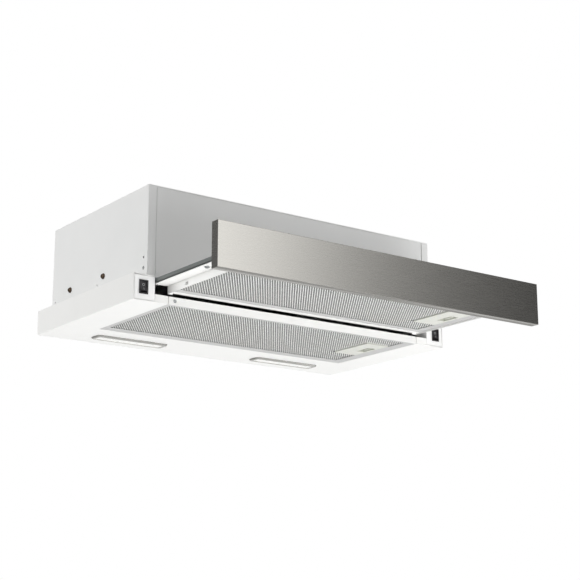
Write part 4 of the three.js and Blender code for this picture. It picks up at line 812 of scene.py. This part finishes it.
# The finger pockets and the latches in them are painted a darker, duller grey for the shade that
# fills the pockets.
pocket_shade_abs, tree, shader, place = new_finish("grey_moulded_abs_with_painted_shade", "#c3c5ba", 0.5)
vary_colour(tree, shader, cloud(tree, place, 5), "#b8baaf", "#cdcfc5")
vary_roughness(tree, shader, cloud(tree, place, 3), 0.4, 0.6)

PLATE_HALF = (22.5, 44)
POCKET = (9, -2)  # the pocket's middle, from the plate's
POCKET_HALF = (7.5, 16.5)
NET_RISE = 1.9  # from the cassette's underside to the net's middle
LAYERS_RISE = (3.6, 4.4)  # and to the dark inner layers
RIM_GAP = 0.5  # between the layers and the channel's web
PLATE_GAP = 0.6  # between the layers and the latch plate
NET_CUT = 2  # how far the net ends from the latch plate
FILTERS = (
    # name, inside of the channel's web (x, y), underside z, latch plate's middle
    ("lower_filter", (-238.5, 238.5), (6.1, 210), 0.4, (198.2, 94)),
    ("drawer_filter", (-237.5, 237.5), (-203.3, -10), 17.9, (201.2, -108)),
)
for name, xs, ys, z, plate in FILTERS:
    cassette = copy_of(f"{name}_frame")
    stands_for(made(f"{name}_frame_rolled", cassette, [rolled], edge=0.35), "aluminium",
               f"{name}_frame")
    net = add_net(f"{name}_net_expanded", xs, ys, z + NET_RISE, plate,
                  (PLATE_HALF[0] + NET_CUT, PLATE_HALF[1] + NET_CUT))
    stands_for(net, "aluminium", f"{name}_net")
    # The inner layers, painted dark for the shade inside the cassette, fill it to the left of,
    # before and behind the latch plate.
    left, right = xs[0] + RIM_GAP, xs[1] - RIM_GAP
    front_end, rear_end = ys[0] + RIM_GAP, ys[1] - RIM_GAP
    low, high = (z + rise for rise in LAYERS_RISE)
    beside = plate[0] - PLATE_HALF[0] - PLATE_GAP
    packing = bmesh.new()
    slab(packing, (left, front_end, low), (beside, rear_end, high))
    slab(packing, (beside, front_end, low),
         (right, plate[1] - PLATE_HALF[1] - PLATE_GAP, high))
    slab(packing, (beside, plate[1] + PLATE_HALF[1] + PLATE_GAP, low),
         (right, rear_end, high))
    layers = made(f"{name}_inner_net_layers", packing, [shade_painted_layers], edge=0)
    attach(layers, body_of[f"{name}_net"])

    moulding = copy_of(f"{name}_latch_plate")
    # Faces inside the finger pocket take the second finish, painted darker for the pocket's shade.
    for face in moulding.faces:
        x, y, height = in_mm(face.calc_center_median())
        if (abs(x - plate[0] - POCKET[0]) < POCKET_HALF[0] + 0.1 and height > z + 0.5
                and abs(y - plate[1] - POCKET[1]) < POCKET_HALF[1] + 0.1):
            face.material_index = 1
    stands_for(made(f"{name}_latch_plate_moulded", moulding, [grey_abs, pocket_shade_abs], edge=0.5,
                    steps=3), "grey_plastic", f"{name}_latch_plate")
    # The latch sits in the pocket and takes the same finish, painted darker for the pocket's
    # shade.
    bolt = copy_of(f"{name}_latch")
    stands_for(made(f"{name}_latch_moulded", bolt, [pocket_shade_abs], edge=0.4, steps=3),
               "grey_plastic", f"{name}_latch")

# ---------------------------------------------------------------- Lights
# Two LED lights stand in windows at the back of the tray. Each has a chromed trim with sloping
# sides and round corners that laps over the sheet, and an opal lens just inside it.

# Opal acrylic scatters the light from the diodes and looks milky when it is off.
opal, tree, shader, place = new_finish("opal_acrylic", "#f8f8f5", 0.3)
vary_roughness(tree, shader, cloud(tree, place, 10), 0.26, 0.36)
raise_bumps(tree, shader, cloud(tree, place, 1.5), 0.02)

# Chrome plating on a smooth moulding is nearly a mirror, with a faint haze.
chrome, tree, shader, place = new_finish("bright_chrome_plate", "#d3d2cd", 0.2, metallic=1.0)
vary_roughness(tree, shader, cloud(tree, place, 8), 0.1, 0.18)

for hand in ("left", "right"):
    housing = copy_of(f"{hand}_light_housing")
    stands_for(made(f"{hand}_light_housing_plated", housing, [chrome], edge=0.4, steps=3),
               "zinc_steel", f"{hand}_light_housing")
    lens = copy_of(f"{hand}_light_diffuser")
    stands_for(made(f"{hand}_light_lens", lens, [opal], edge=0.6, steps=3), "frosted_lens",
               f"{hand}_light_diffuser")

# ---------------------------------------------------------------- Outlet and cable gland
# A black moulded collar for the duct, clipped into the top panel, with two thin flaps on a
# pin that fall shut when the blower stops. The gland beside it takes the mains cable.

collar = copy_of("outlet_collar")
stands_for(made("outlet_collar_moulded", collar, [black_abs], edge=0.5, steps=3),
           "black_plastic", "outlet_collar")
gland = copy_of("cable_gland")
stands_for(made("cable_gland_moulded", gland, [black_abs], edge=0.4), "black_plastic",
           "cable_gland")

# ---------------------------------------------------------------- Inner parts
# Everything inside the box keeps its CAD shape and gets its real finish: a galvanised blower
# housing, a polypropylene impeller, a die-cast motor and white moulded electrical parts.

# Galvanised sheet shows crystals of zinc a few millimetres across.
galvanised, tree, shader, place = new_finish("galvanised_steel", "#a9adb0", 0.4, metallic=1.0)
spangle = add_node(tree, "ShaderNodeTexVoronoi", {"Vector": place, "Scale": 1 / (8 * MM)})
crystal = add_node(tree, "ShaderNodeSeparateColor", {"Color": spangle.outputs["Color"]})
vary_colour(tree, shader, crystal.outputs["Red"], "#95999c", "#bcc0c2")
vary_roughness(tree, shader, crystal.outputs["Green"], 0.3, 0.5)

# Die-cast aluminium is dull and slightly grainy.
cast, tree, shader, place = new_finish("die_cast_aluminium", "#a6a8a8", 0.52, metallic=1.0)
vary_roughness(tree, shader, cloud(tree, place, 3), 0.46, 0.6)
raise_bumps(tree, shader, cloud(tree, place, 1.0), 0.05)

# Polypropylene is a little waxy.
polypropylene, tree, shader, place = new_finish("moulded_polypropylene", "#e6e6e1", 0.5)
vary_colour(tree, shader, cloud(tree, place, 18), "#e0e0da", "#ecece8")
raise_bumps(tree, shader, cloud(tree, place, 1.2), 0.02)

KEPT_NODES = {
    "blower_housing": galvanised, "motor_bracket": galvanised, "impeller": polypropylene,
    "motor_shaft": zinc, "motor": cast, "run_capacitor": polypropylene,
    "terminal_box": polypropylene, "terminal_box_lid": polypropylene,
    "light_driver": polypropylene, "flap_pin": zinc, "left_flap": grey_abs,
    "right_flap": grey_abs, "fascia_stud_left": zinc, "fascia_stud_right": zinc,
}
for name, finish in KEPT_NODES.items():
    nodes[name].data.materials.clear()
    nodes[name].data.materials.append(finish)
